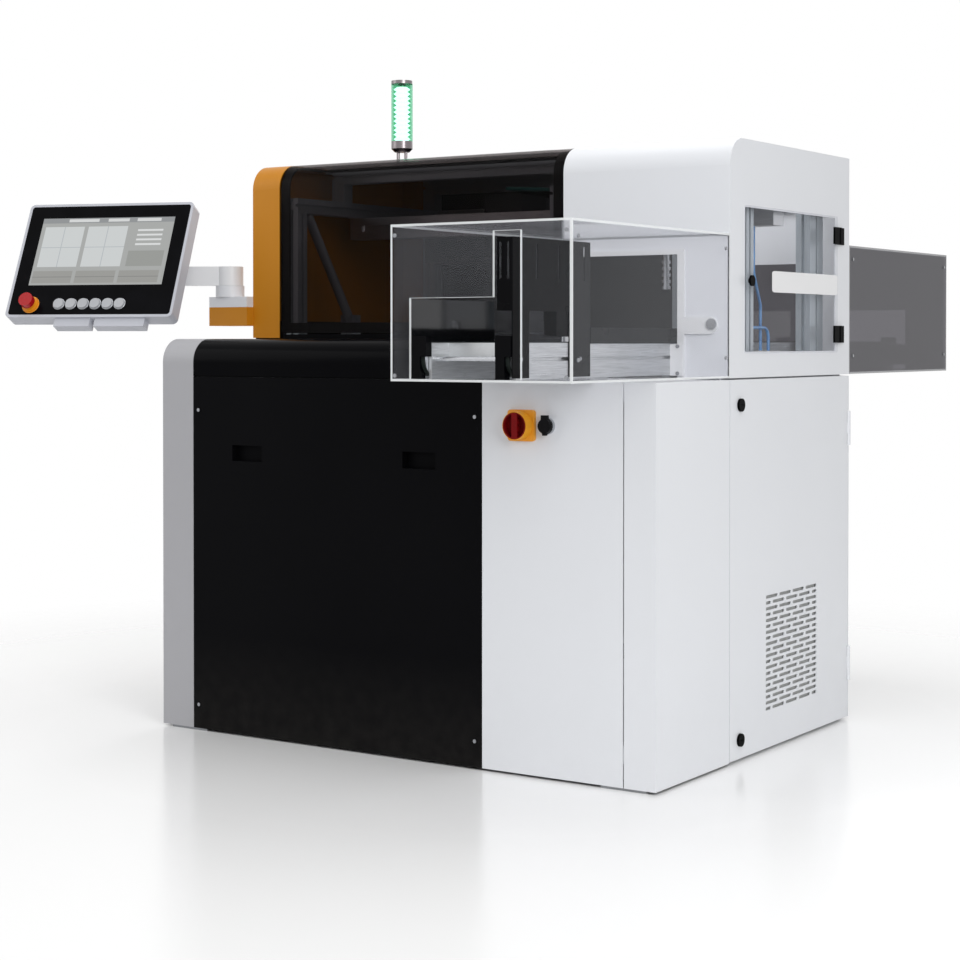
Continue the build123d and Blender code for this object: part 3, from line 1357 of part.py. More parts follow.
CARRIAGE_GAP = 0.4
ROD_R = 8.0
SLEEVE = 20.0
carriage_z = (gantry_z[0] - 25.0, gantry_z[1] - SEAM)
with BuildPart() as gripper_carriage:
    block(
        (X_CONV - CARRIAGE_W / 2, X_CONV + CARRIAGE_W / 2),
        (beam_y[0] - CARRIAGE_W / 3, beam_y[0] - CARRIAGE_GAP),
        carriage_z,
    )
    block(
        (X_CONV - SLEEVE, X_CONV + SLEEVE),
        (GRIPPER_Y - SLEEVE, beam_y[0] - CARRIAGE_GAP),
        carriage_z,
    )
    rod(
        (X_CONV, GRIPPER_Y, carriage_z[0]),
        ROD_R + CARRIAGE_GAP,
        carriage_z[1] - carriage_z[0],
        mode=Mode.SUBTRACT,
    )
finish(gripper_carriage, "gripper_carriage")

FOLDS = 5
with BuildPart() as vacuum_gripper:
    fold = BELLOWS_H / FOLDS
    for number in range(FOLDS):
        foot = (X_CONV, GRIPPER_Y, GRIPPER_LIP + number * fold)
        rod(foot, BELLOWS_R, fold / 2)
        rod(foot, ROD_R, fold)
    rod(
        (X_CONV, GRIPPER_Y, GRIPPER_LIP + BELLOWS_H),
        ROD_R,
        carriage_z[1] - SEAM - GRIPPER_LIP - BELLOWS_H,
    )
finish(vacuum_gripper, "vacuum_gripper")

with BuildPart() as lens_shuttle:
    block(
        (STATION_X - SHUTTLE_W / 2, STATION_X + SHUTTLE_W / 2),
        shuttle_y,
        (DECK_TOP + RAIL_H + CARRIAGE_GAP, DECK_TOP + 2 * RAIL_H),
    )
    cup = (STATION_X, GRIPPER_Y, DECK_TOP + 2 * RAIL_H)
    rod(cup, CHUCK_R, CHUCK_TOP - DECK_TOP - 2 * RAIL_H)
    rod(
        (STATION_X, GRIPPER_Y, CHUCK_TOP - CHUCK_R / 2),
        0.8 * CHUCK_R,
        CHUCK_R / 2,
        mode=Mode.SUBTRACT,
    )
finish(lens_shuttle, "lens_shuttle")

# Scan head over the shuttle's far end, on the column that carries the laser source
LENS_R = 35.0
LENS_H = 30.0
COLUMN_W = 80.0
COLUMN_D = 60.0
SOURCE_LONG = 310.0
SOURCE_D = 100.0
SOURCE_LOW = 1225.0
SOURCE_H = 120.0
head_y = GRIPPER_Y + SHUTTLE_TRAVEL
with BuildPart() as scan_head:
    block(
        (STATION_X - HEAD_W / 2, STATION_X + HEAD_W / 2),
        (head_y - HEAD_W / 2, head_y + HEAD_W / 2),
        (HEAD_LOW, HEAD_LOW + HEAD_H),
    )
    rod((STATION_X, head_y, HEAD_LOW - LENS_H), LENS_R, LENS_H)
finish(scan_head, "scan_head")

with BuildPart() as laser_source:
    column_y = (head_y + HEAD_W / 2 + CARRIAGE_GAP, head_y + HEAD_W / 2 + COLUMN_D)
    block(
        (STATION_X - COLUMN_W / 2, STATION_X + COLUMN_W / 2),
        column_y,
        (DECK_TOP, HEAD_LOW + HEAD_H),
    )
    block(
        (STATION_X - COLUMN_W / 2 - SOURCE_LONG, STATION_X - COLUMN_W / 2),
        (column_y[0], column_y[0] + SOURCE_D),
        (SOURCE_LOW, SOURCE_LOW + SOURCE_H),
    )
finish(laser_source, "laser_source")

# Control units on their plate in the base, and the valve terminal on the deck
PLATE_Z = (150.0, 850.0)
UNIT_D = 140.0
UNIT_H = 180.0
UNITS = 4
VALVE_W = 40.0
VALVE_LONG = 190.0
VALVE_H = 67.0
VALVE_X = 640.0
VALVE_Y = 155.0
plate_y = (LOWER_Y1 - POST - SHEET, LOWER_Y1 - POST)
plate_x = (LOWER_X0 + POST / 2, X_BAY + POST / 4)
with BuildPart() as control_modules:
    block(plate_x, plate_y, PLATE_Z)
    width = (plate_x[1] - plate_x[0]) / UNITS
    for number in range(UNITS):
        for row in (0, 1):
            low = PLATE_Z[0] + UNIT_H / 3 + row * 1.6 * UNIT_H
            start = plate_x[0] + number * width
            block(
                (start + width / 6, start + width * 5 / 6),
                (plate_y[0] - UNIT_D, plate_y[0] - CARRIAGE_GAP),
                (low, low + UNIT_H),
            )
    valve_y = (VALVE_Y - VALVE_LONG / 2, VALVE_Y + VALVE_LONG / 2)
    valve_top = DECK_TOP + VALVE_H
    block((VALVE_X - VALVE_W / 2, VALVE_X + VALVE_W / 2), valve_y, (DECK_TOP, valve_top))
finish(control_modules, "control_modules")

# Air tubes from the valve terminal: a loop back to it and a riser to the gantry beam
TUBE_R = 4.0
LOOP_H = 58.0
BEND = 26.0
LEAN_Y = 40.0
with BuildPart() as pneumatic_tubes:
    loop_y = (VALVE_Y - VALVE_LONG / 4, VALVE_Y + VALVE_LONG / 3)
    with BuildLine() as loop_path:
        FilletPolyline(
            (VALVE_X, loop_y[0], valve_top),
            (VALVE_X, loop_y[0], valve_top + LOOP_H),
            (VALVE_X, loop_y[1], valve_top + LOOP_H),
            (VALVE_X, loop_y[1], valve_top),
            radius=BEND,
        )
    with BuildSketch(Plane((VALVE_X, loop_y[0], valve_top))) as bore:
        Circle(TUBE_R)
    sweep(bore.sketch, path=loop_path.wire())
    riser_x = VALVE_X - VALVE_W / 3
    beam_mid = sum(beam_y) / 2
    with BuildLine() as riser_path:
        FilletPolyline(
            (riser_x, beam_mid + LEAN_Y, valve_top),
            (riser_x, beam_mid + LEAN_Y, (valve_top + gantry_z[0]) / 2 - LEAN_Y),
            (riser_x, beam_mid, (valve_top + gantry_z[0]) / 2 + LEAN_Y),
            (riser_x, beam_mid, gantry_z[0]),
            radius=BEND,
        )
    with BuildSketch(Plane((riser_x, beam_mid + LEAN_Y, valve_top))) as riser:
        Circle(TUBE_R)
    sweep(riser.sketch, path=riser_path.wire())
finish(pneumatic_tubes, "pneumatic_tubes")

# Button-head screws, each seated on the face that it holds
HEAD_R = 4.5
HEAD_T = 2.5
SCREW_EDGE = 18.0
SCREW_LOW = 67.0
SCREW_HIGH = 823.0
GUARD_EDGE = 12.0
with BuildPart() as screws:
    for sx in (BLACK_X0 + SCREW_EDGE, BLACK_X1 - SCREW_EDGE):
        for sz in (SCREW_LOW, SCREW_HIGH):
            rod((sx, Y_F, sz), HEAD_R, HEAD_T, (0, -1, 0))
    for sx in (guard_x[0] + GUARD_EDGE, guard_x[1] - GUARD_EDGE):
        for sz in (GUARD_LOW + GUARD_EDGE, GUARD_TOP - 2 * GUARD_EDGE):
            rod((sx, GUARD_Y0, sz), HEAD_R, HEAD_T, (0, -1, 0))
            rod((sx, GUARD_Y1, sz), HEAD_R, HEAD_T, (0, 1, 0))
    for sz in (GUARD_LOW + 4 * GUARD_EDGE, GUARD_TOP - 3 * GUARD_EDGE):
        for sy in (Y_B + 2 * GUARD_EDGE, GUARD_Y1 - 2 * GUARD_EDGE):
            rod((X_R, sy, sz), HEAD_R, HEAD_T, (1, 0, 0))
        for sy in (GUARD_Y0 + 2 * GUARD_EDGE, Y_H - 2 * GUARD_EDGE):
            rod((X_R, sy, sz), HEAD_R, HEAD_T, (1, 0, 0))
    for sy in (brk_y[0] + BRK_LEG / 2, brk_y[1] - BRK_LEG_BACK / 2):
        rod((brk_x[1], sy, SHAFT_Z), HEAD_R, HEAD_T, (1, 0, 0))
    for sz in (TIE_PLATE_LOW + HEAD_R + HAIR, TIE_PLATE_TOP - HEAD_R - HAIR):
        rod((gate_x[1] + HEAD_R, tie_plate_y - TIE_PLATE_T, sz), HEAD_R, HEAD_T, (0, -1, 0))
finish(screws, "screws")
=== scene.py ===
import math

import bpy
import numpy as np
from bpy.props import FloatProperty, FloatVectorProperty, PointerProperty
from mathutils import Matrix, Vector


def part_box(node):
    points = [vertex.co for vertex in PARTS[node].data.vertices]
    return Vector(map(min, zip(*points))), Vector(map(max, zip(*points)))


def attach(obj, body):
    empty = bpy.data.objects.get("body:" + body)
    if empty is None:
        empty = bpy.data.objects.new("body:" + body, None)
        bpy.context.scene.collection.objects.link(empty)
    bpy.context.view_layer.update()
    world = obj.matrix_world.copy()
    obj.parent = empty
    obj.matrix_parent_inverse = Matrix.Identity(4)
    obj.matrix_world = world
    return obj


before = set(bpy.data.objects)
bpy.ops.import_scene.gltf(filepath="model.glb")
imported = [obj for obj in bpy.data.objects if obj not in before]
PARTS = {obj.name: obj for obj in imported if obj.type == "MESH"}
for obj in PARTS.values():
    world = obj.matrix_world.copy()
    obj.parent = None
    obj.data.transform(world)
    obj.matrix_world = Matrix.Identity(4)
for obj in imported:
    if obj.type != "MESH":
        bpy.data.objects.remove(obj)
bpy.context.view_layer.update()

bl_info = {
    "name": "Lens engraver dressing",
    "version": (1, 0, 0),
    "blender": (4, 5, 0),
    "location": "3D View > Sidebar > Engraver",
    "description": "Finishes, small trim and a studio for a laser lens engraver",
    "category": "Object",
}


def tone(red, green, blue):
    """A display colour from 0 to 255 as the linear values that shaders use."""
    value = np.array([red, green, blue], float) / 255
    linear = np.where(value <= 0.04045, value / 12.92, ((value + 0.055) / 1.055) ** 2.4)
    return tuple(float(v) for v in linear)


# Lengths and places below are in metres, on the machine's own axes

# Covers: the inset of the black painted shade inside the left cover, behind the slit under
# the hood, and its height; the rear panels' black painted shade where they back the hood;
# the height where the arm's bracket turns from orange to white
SLIT_SHADE_INSET = 0.002
SLIT = 0.05
HOOD_SHADE_SKIN = 0.001
BRACKET_SPLIT = 1.0925

# Sheets: the strip along their edges that carries a painted highlight, and its share, the
# steps of the cut-out in the front guard with the width of its painted highlight line and
# the depth of its wall, and how late a sheet turns into a mirror at a grazing view
EDGE_WIDTH = 0.005
EDGE_SHARE = 0.8
GATE_X = (0.3185, 0.533, 0.6005)
GATE_Z = (0.917, 1.0915, 1.230)
GATE_LINE = 0.0008
GATE_WALL = 0.008
GRAZING_POWER = 4.0
# Pale tone of the painted highlight along the sheets' edges
EDGE_HIGHLIGHT_TONE = tone(240, 243, 244)

# Conveyor and bay: the black guide plate, the white tie, the belt's ribs and paints
GUIDE_T = 0.0041
TIE_X = 0.5731
TIE_Z = 0.90
BELT_PITCH = 0.0025
RAIL_METAL = tone(204, 206, 208)
OPENING_WHITE = tone(224, 225, 226)
TUBE_BLUE = tone(86, 146, 200)

# Main switch and stop button
HANDLE_SKIN = 0.0012
SEAT_R = 0.0227
SEAT_FOOT = -0.0005
SWITCH_YELLOW = tone(228, 156, 38)
SWITCH_RED = tone(118, 12, 14)
STOP_YELLOW = tone(232, 150, 30)

# Stack light: its green lens, and the lit reflector inside with its bands of two whites
LENS_GREEN = tone(70, 168, 118)
LENS_TINT = (0.58, 0.83, 0.71)
CORE_RINGS = 12
CORE_WIDE = 0.0232
CORE_NARROW = 0.0145
CORE_POST = 0.0101
CORE_SEAT = 0.0004
CORE_TOP = 0.0085
CORE_BAND = 0.003

# Operator panel: its face's middle and directions, and what lies on it, across and up
FACE_MID = np.array((-1.060, -0.4195, 1.2225))
FACE_X = np.array((0.9483, 0.3173, 0.0))
FACE_UP = np.array((-0.1421, 0.4246, 0.8942))
FACE_OUT = np.array((0.2837, -0.8479, 0.4478))
SCREEN_U = (-0.196, 0.1985)
SCREEN_V = (-0.079, 0.131)
PAGE_OFF = 0.0006
STOP_AT = (-0.1756, -0.1392)
STOP_RING = (0.0238, 0.0012)
KEYS = 6
KEY_PITCH = 0.0359
KEY_FIRST = -0.0917
KEY_V = -0.137
KEY_RING = (0.0155, 0.0017)
PANEL_PALE = tone(190, 192, 200)
SCREEN_BLACK = tone(8, 8, 10)

# Side window: the outer face of its sheet, and the pale strip on it
PANE_X = 0.7313
BAND_Y = (0.045, 0.4405)
BAND_Z = (1.118, 1.170)
BAND_CORNER = 0.004
BAND_OFF = 0.0003
STRIP_WHITE = tone(232, 232, 233)

# Vent filter behind the louvres: where it is, how large, and its ripples each way
VENT_X = 0.7185
VENT_Y = 0.178
VENT_LOW = 0.092
VENT_WIDE = 0.42
VENT_TALL = 0.298
VENT_RIPPLES = (30, 22)
VENT_DEPTH = 0.0008

# Cables under the hood: how many, their radius and spacing, and the points of their route
# as x, y, how far below the top, and how much more each next cable rises there
CABLES = 4
CABLE_R = 0.0045
CABLE_PITCH = 0.011
SLANT = (0.31, 0.2, 0.93)
CABLE_ROUTE = (
    (-0.02, 0.020, 0.0, 0.0),
    (0.06, 0.024, 0.004, 0.0),
    (0.15, 0.018, 0.010, 0.003),
    (0.235, 0.022, 0.006, 0.0),
)

# Stage: the floor and where it fades out, the lamps by name, place, side, watts and
# target, and the photograph's viewpoint with its lens in millimetres
FLOOR_R = 6.0
FLOOR_GRID = (24, 96)
FLOOR_FADE = (1.2, 2.8)
MACHINE_MID = (0.0, 0.2, 0.7)
LAMPS = (
    ("key_lamp", (3.2, -3.6, 4.2), 3.2, 88.0, MACHINE_MID),
    ("low_lamp", (4.4, -3.2, 2.1), 2.0, 92.0, MACHINE_MID),
    ("fill_lamp", (-4.6, -3.2, 3.4), 3.6, 58.0, MACHINE_MID),
    ("top_lamp", (0.0, 0.4, 5.0), 3.4, 74.0, MACHINE_MID),
    ("back_lamp", (-1.2, 4.6, 3.4), 3.0, 40.0, MACHINE_MID),
    ("bay_lamp", (0.48, 0.25, 1.42), 0.16, 0.75, (0.45, 0.53, 1.08)),
)
CAMERA_AT = (2.7994, -4.366, 1.0)
CAMERA_TILT = 89.25
CAMERA_TURN = 33.5
CAMERA_LENS = 74.29
CAMERA_SENSOR = 36.0
CAMERA_RISE = -0.118
CAMERA_REACH = 60.0
WHITE = (1.0, 1.0, 1.0)


class Wire:
    """One socket's value in a node tree; + - * ** on it add Math nodes."""

    def __init__(self, nodes, socket):
        self.nodes = nodes
        self.socket = socket

    def maths(self, operation, *values):
        return self.nodes.add("Math", {"operation": operation}, *values)

    def __add__(self, other):
        return self.maths("ADD", self, other)

    __radd__ = __add__

    def __mul__(self, other):
        return self.maths("MULTIPLY", self, other)

    __rmul__ = __mul__

    def __sub__(self, other):
        return self.maths("SUBTRACT", self, other)

    def __rsub__(self, other):
        return self.maths("SUBTRACT", other, self)

    def __pow__(self, other):
        return self.maths("POWER", self, other)

    def above(self, edge):
        return self.maths("GREATER_THAN", self, edge)

    def below(self, edge):
        return self.maths("LESS_THAN", self, edge)

    def size(self):
        return self.maths("ABSOLUTE", self)

    def most(self, other):
        return self.maths("MAXIMUM", self, other)

    def within(self, low, high):
        return self.above(low) * self.below(high)

    def near(self, value, reach):
        """1 where this number is closer to a value than reach."""
        return (self - value).size().below(reach)

    def ramp(self, low, high, start=0.0, end=1.0):
        """This number carried from one span to another, held at both ends."""
        return self.nodes.add("MapRange", {"clamp": True}, self, low, high, start, end)

    def repeat(self, pitch):
        """The place within one pitch of a repeated pattern, from 0 to 1."""
        return self.maths("FRACT", self * (1.0 / pitch))


class Nodes:
    """A node tree, emptied, and the ways to add to it."""

    def __init__(self, tree, output):
        self.tree = tree
        self.tree.nodes.clear()
        self.output = self.tree.nodes.new(output)

    def join(self, source, target):
        self.tree.links.new(source, target)

    def feed(self, socket, value):
        """Links a wire to a socket, or sets the socket's own value."""
        if isinstance(value, Wire):
            self.join(value.socket, socket)
        elif isinstance(value, (tuple, list)) and socket.type == "RGBA":
            socket.default_value = (*value[:3], 1.0)
        else:
            socket.default_value = value

    def add(self, kind, settings=None, *values, out=0, placed=None, **named):
        """Adds a node, its settings first, feeds its sockets in order, by place or by
        name, and returns one of its outputs."""
        node = self.tree.nodes.new("ShaderNode" + kind)
        for key, value in (settings or {}).items():
            setattr(node, key, value)
        for socket, value in zip(node.inputs, values):
            self.feed(socket, value)
        for place, value in (placed or {}).items():
            self.feed(node.inputs[place], value)
        for key, value in named.items():
            self.feed(node.inputs[key.replace("_", " ")], value)
        return Wire(self, node.outputs[out])

    def show(self, shader):
        """Makes a shader the one that the tree gives."""
        self.feed(self.output.inputs["Surface"], shader)


class Finish(Nodes):
    """A material with one Principled shader and whatever feeds it."""

    def __init__(self, name, base, rough, **settings):
        self.material = bpy.data.materials.new(name)
        self.material.use_nodes = True
        super().__init__(self.material.node_tree, "ShaderNodeOutputMaterial")
        self.surface = self.tree.nodes.new("ShaderNodeBsdfPrincipled")
        self.body = Wire(self, self.surface.outputs[0])
        self.show(self.body)
        self.put("Base Color", base)
        self.put("Roughness", rough)
        for socket, value in settings.items():
            self.put(socket.replace("_", " "), value)
        self.coords = None

    def put(self, name, value):
        self.feed(self.surface.inputs[name], value)

    def place(self):
        """The point on the machine, in metres, as a vector."""
        if self.coords is None:
            self.coords = self.add("TexCoord", out="Object")
        return self.coords

    def axis(self, index):
        """One coordinate of that point: 0 for x, 1 for y, 2 for z."""
        return self.add("SeparateXYZ", None, self.place(), out=index)

    def stretched(self, x, y, z):
        """The point on the machine, scaled by its own amount on each axis."""
        return self.add("VectorMath", {"operation": "MULTIPLY"}, self.place(), (x, y, z))

    def cloud(self, scale, detail=2.0, where=None):
        """Soft noise from 0 to 1, so many waves to a metre."""
        where = where or self.place()
        return self.add("TexNoise", Vector=where, Scale=scale, Detail=detail)

    def blend(self, first, second, share):
        """A colour that runs from the first to the second as the share goes to 1."""
        colours = {6: first, 7: second}
        return self.add("Mix", {"data_type": "RGBA"}, share, out=2, placed=colours)

    def blend_number(self, first, second, share):
        """A number that runs from the first to the second as the share goes to 1."""
        return first + (second - first) * share

    def relief(self, height, depth, strength=1.0):
        """Tilts the surface by a height that reaches a depth in metres."""
        self.put("Normal", self.add("Bump", Height=height, Strength=strength, Distance=depth))

    def see_through(self, tint, film, rim, edge=None):
        """Lets what is behind show: the share of the surface's own shader grows from
        film, seen head on, by rim times the facing value to a power, at a grazing view,
        and is at least the value of the painted edge highlight's mask."""
        clear = self.add("BsdfTransparent", None, tint)
        facing = self.add("LayerWeight", Blend=0.5, out="Facing")
        share = facing**GRAZING_POWER * rim + film
        if edge is not None:
            share = share.most(edge)
        self.show(self.add("MixShader", None, share, clear, self.body))

    def near_edges(self, node, width):
        """1 within a strip of that width along the straight edges of a node's box: there
        two of the three coordinates are both close to the box's faces."""
        low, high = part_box(node)
        close = []
        for index in range(3):
            value = self.axis(index)
            near_low = value.below(low[index] + width)
            close.append(near_low.most(value.above(high[index] - width)))
        return (close[0] + close[1] + close[2]).above(1.5)


def darker(colour, share):
    """A colour with a share of its light."""
    return tuple(share * c for c in colour)


def powder_coat(name, colour, gloss=0.42, grain=0.00006, shine=0.5):
    """Baked powder paint: a fine orange-peel skin, faintly uneven in tone, with a
    little dust low on the machine."""
    coat = Finish(name, colour, gloss, IOR=1.48, Specular_IOR_Level=shine)
    peel = coat.cloud(700.0, 2.0)
    drift = coat.cloud(3.0, 3.0)
    dust = coat.axis(2).ramp(0.0, 0.25, 0.05, 0.0) * coat.cloud(30.0, 4.0)
    shade = drift.ramp(0.35, 0.7, 0.0, 0.06)
    worn = tuple(min(1.0, 0.86 * c + 0.01) for c in colour)
    toned = coat.blend(colour, worn, shade)
    coat.put("Base Color", coat.blend(toned, tone(150, 145, 138), dust))
    coat.put("Roughness", drift.ramp(0.3, 0.7, gloss - 0.04, gloss + 0.06))
    coat.relief(peel, grain, 0.35)
    return coat.material


def drawn_bar(name, colour, rough=0.34, lines=(900.0, 900.0, 14.0), bare=0.9):
    """Anodised or drawn metal: fine lines along its length. Bare is how metallic it is."""
    metal = Finish(name, colour, rough, Metallic=bare)
    streaks = metal.cloud(1.0, 3.0, metal.stretched(*lines))
    shade = streaks.ramp(0.4, 0.75, 0.0, 0.6)
    metal.put("Base Color", metal.blend(colour, darker(colour, 0.72), shade))
    metal.put("Roughness", streaks.ramp(0.3, 0.7, rough - 0.08, rough + 0.1))
    metal.relief(streaks, 0.00003, 0.4)
    return metal.material


def moulded(name, colour, rough=0.5, grain=1400.0, depth=0.00004, coat_weight=0.0, shine=0.5):
    """Moulded plastic: a fine spark-eroded grain and a faint change of gloss."""
    plastic = Finish(name, colour, rough, IOR=1.5, Specular_IOR_Level=shine)
    if coat_weight:
        plastic.put("Coat Weight", coat_weight)
        plastic.put("Coat Roughness", 0.06)
    skin = plastic.cloud(grain, 2.0)
    sweep = plastic.cloud(9.0, 2.0)
    shade = sweep.ramp(0.4, 0.7, 0.0, 0.35)
    plastic.put("Base Color", plastic.blend(colour, darker(colour, 0.8), shade))
    plastic.put("Roughness", sweep.ramp(0.3, 0.7, rough - 0.05, rough + 0.06))
    plastic.relief(skin, depth, 0.5)
    return plastic.material


def turned_steel(name, colour, rough=0.24):
    """Bright machined steel with close, uneven tool marks."""
    steel = Finish(name, colour, rough, Metallic=1.0)
    marks = steel.cloud(1.0, 2.0, steel.stretched(260.0, 260.0, 2600.0))
    steel.put("Roughness", marks.ramp(0.3, 0.7, rough - 0.06, rough + 0.12))
    shade = marks.ramp(0.4, 0.7, 0.0, 0.5)
    steel.put("Base Color", steel.blend(colour, darker(colour, 0.8), shade))
    steel.relief(marks, 0.00002, 0.4)
    return steel.material


def acrylic(name, tint, film, rim, body, rough, edges_of=None, cut=None, highlight_tone=EDGE_HIGHLIGHT_TONE):
    """Cast sheet: see-through, more like a mirror at a grazing view, with a breath of
    dust and wipe marks. Edges_of names a node along whose box's edges a pale painted
    highlight is laid, and cut gives the mask of a cut-out whose edges get it too."""
    pane = Finish(name, body, rough, IOR=1.49)
    wipe = pane.cloud(1.0, 4.0, pane.stretched(9.0, 9.0, 3.0))
    pane.put("Roughness", wipe.ramp(0.4, 0.8, rough, rough + 0.07))
    edge = None
    # Painted highlight: a pale tone along the sheet's edges and the cut-out's edges, standing in for
    # light the edges catch
    if edges_of:
        near = pane.near_edges(edges_of, EDGE_WIDTH)
        if cut:
            near = near.most(cut(pane))
        edge = near * EDGE_SHARE
        pane.put("Base Color", pane.blend(body, highlight_tone, near))
    pane.see_through(tint, film, rim, edge)
    return pane.material


def wear(node, material):
    """Gives a CAD piece one finish."""
    slots = PARTS[node].data.materials
    slots.clear()
    slots.append(material)


def wear_each(material, *names):
    """Gives several CAD pieces the same finish."""
    for name in names:
        wear(name, material)


def quads(rows, columns, closed_u=False, closed_v=False):
    """The cells of a grid of points, rows by columns, each one quad of point numbers; a
    closed direction joins its last row or column to the first."""
    index = np.arange(rows * columns).reshape(rows, columns)
    u_next = np.roll(index, -1, axis=0)
    v_next = np.roll(index, -1, axis=1)
    both = np.roll(u_next, -1, axis=1)
    cells = np.stack([index, u_next, both, v_next], axis=-1)
    cells = cells[: rows if closed_u else rows - 1, : columns if closed_v else columns - 1]
    return cells.reshape(-1, 4).tolist()


def shown(name, points, faces, material):
    """A new object of one mesh, linked to the scene."""
    mesh = bpy.data.meshes.new(name)
    mesh.from_pydata(points.reshape(-1, 3).tolist(), [], faces)
    mesh.materials.append(material)
    piece = bpy.data.objects.new(name, mesh)
    bpy.context.scene.collection.objects.link(piece)
    return piece


def surface(name, points, material, body, closed_u=False, closed_v=False, uv=None):
    """A smooth piece on a grid of points, which rides on a body and wears the finish it
    is given."""
    piece = shown(name, points, quads(*points.shape[:2], closed_u, closed_v), material)
    mesh = piece.data
    if uv is not None:
        layer = mesh.uv_layers.new(name="UVMap")
        corner = np.empty(len(mesh.loops), np.int32)
        mesh.loops.foreach_get("vertex_index", corner)
        layer.data.foreach_set("uv", uv.reshape(-1, 2)[corner].astype(np.float32).ravel())
    mesh.shade_smooth()
    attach(piece, body)


def grid(rows, columns):
    """Two parameters from 0 to 1 over a grid."""
    return np.meshgrid(np.linspace(0, 1, rows), np.linspace(0, 1, columns), indexing="ij")


def circle(steps):
    """Evenly spaced angles once round."""
    return np.linspace(0, 2 * math.pi, steps + 1)[:-1]


def turned(profile, at, along, across, steps=48):
    """A profile of radius and height carried round an axis: each point is the centre
    plus its height along the axis plus its radius times a turning direction."""
    turn = circle(steps)
    along, across = np.array(along, float), np.array(across, float)
    third = np.cross(along, across)
    ring = np.cos(turn)[:, None] * across + np.sin(turn)[:, None] * third
    radius, height = np.array(profile, float).T
    return (
        np.array(at, float)
        + ring[:, None, :] * radius[None, :, None]
        + along * height[None, :, None]
    )


def tube(path, radius, sides=12, steps=64):
    """A round tube along a smooth curve through points: the curve is a sum of the points
    weighted by a Catmull-Rom basis, and each ring stands square to the curve. Its first
    direction is the curve's own crossed with a slant that the curve never runs along."""
    knots = np.array(path, float)
    knots = np.vstack([2 * knots[0] - knots[1], knots, 2 * knots[-1] - knots[-2]])
    t = np.linspace(0, len(path) - 1 - 1e-6, steps)
    i = t.astype(int)
    f = (t - i)[:, None]
    a, b, c, d = knots[i], knots[i + 1], knots[i + 2], knots[i + 3]
    bend = (2 * a - 5 * b + 4 * c - d) * f**2 + (3 * b - a - 3 * c + d) * f**3
    line = 0.5 * (2 * b + (c - a) * f + bend)
    ahead = np.gradient(line, axis=0)
    ahead /= np.linalg.norm(ahead, axis=1, keepdims=True)
    side = np.cross(ahead, SLANT)
    side /= np.linalg.norm(side, axis=1, keepdims=True)
    lift = np.cross(side, ahead)
    turn = circle(sides)
    across, up = np.cos(turn)[None, :, None], np.sin(turn)[None, :, None]
    return line[:, None] + radius * (across * side[:, None] + up * lift[:, None])


def cabinet_finishes(dressing):
    """Painted sheet metal and the welded frame."""
    grey = powder_coat("Grey powder coat", tuple(dressing.grey), 0.45)
    black = powder_coat("Black powder coat", tone(7, 7, 9), 0.42, 0.00008, 0.03)
    white = powder_coat("White powder coat", tuple(dressing.white), 0.36)
    frame_paint = powder_coat("Frame paint", tone(206, 207, 210), 0.5)
    bar = drawn_bar("Framing bar", tone(176, 184, 190), 0.36, (600.0, 600.0, 30.0), 0.5)
    wear("orange_end_cover", orange_paint(tuple(dressing.orange)))
    wear("grey_end_cover", grey)
    wear("black_front_panel", black)
    wear("black_cowl", powder_coat("Cowl gloss paint", tone(4, 4, 6), 0.2, 0.00003, 0.03))
    wear_each(white, "white_front_panel", "white_corner_panel", "white_housing", "service_door")
    wear("top_cover", powder_coat("Top cover paint", tone(7, 7, 9), 0.64, 0.00008, 0.02))
    wear("rear_panels", shade_backed_panel(tuple(dressing.white)))
    wear_each(frame_paint, "base_frame", "cabinet_plates")
    wear("upper_frame", bar)


def orange_paint(orange):
    """The left cover: orange paint, and painted shade: near black inside along its lower
    edge, behind the slit under the hood."""
    coat = Finish("Orange powder coat", orange, 0.4, IOR=1.48, Specular_IOR_Level=0.25)
    low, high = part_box("orange_end_cover")
    # Painted shade: the cover's inside below the slit's height is painted near black so the slit
    # under the hood looks dark
    inside = coat.axis(0).above(low[0] + SLIT_SHADE_INSET)
    inside = inside * coat.axis(1).within(low[1] + SLIT_SHADE_INSET, high[1] - SLIT_SHADE_INSET)
    slit_shade = inside * coat.axis(2).below(low[2] + SLIT)
    drift = coat.cloud(3.0, 3.0)
    toned = coat.blend(orange, darker(orange, 0.9), drift.ramp(0.35, 0.7, 0.0, 0.2))
    coat.put("Base Color", coat.blend(toned, tone(12, 11, 11), slit_shade))
    coat.put("Roughness", drift.ramp(0.3, 0.7, 0.36, 0.46))
    coat.relief(coat.cloud(700.0, 2.0), 0.00006, 0.35)
    return coat.material


def shade_backed_panel(white):
    """The rear panels: white paint, and painted shade in matt black where they back
    the hood, to darken the hood's inside.
    """
    coat = Finish("Rear panel paint", white, 0.4, IOR=1.48)
    low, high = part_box("white_housing")
    # Painted shade: the panels' inner face behind the hood is painted matt black
    hood_shade = coat.axis(1).below(high[1] - HOOD_SHADE_SKIN) * coat.axis(0).below(low[0])
    coat.put("Base Color", coat.blend(white, tone(16, 15, 15), hood_shade))
    coat.put("Roughness", coat.cloud(3.0, 3.0).ramp(0.3, 0.7, 0.36, 0.5))
    coat.relief(coat.cloud(700.0, 2.0), 0.00006, 0.35)
    return coat.material


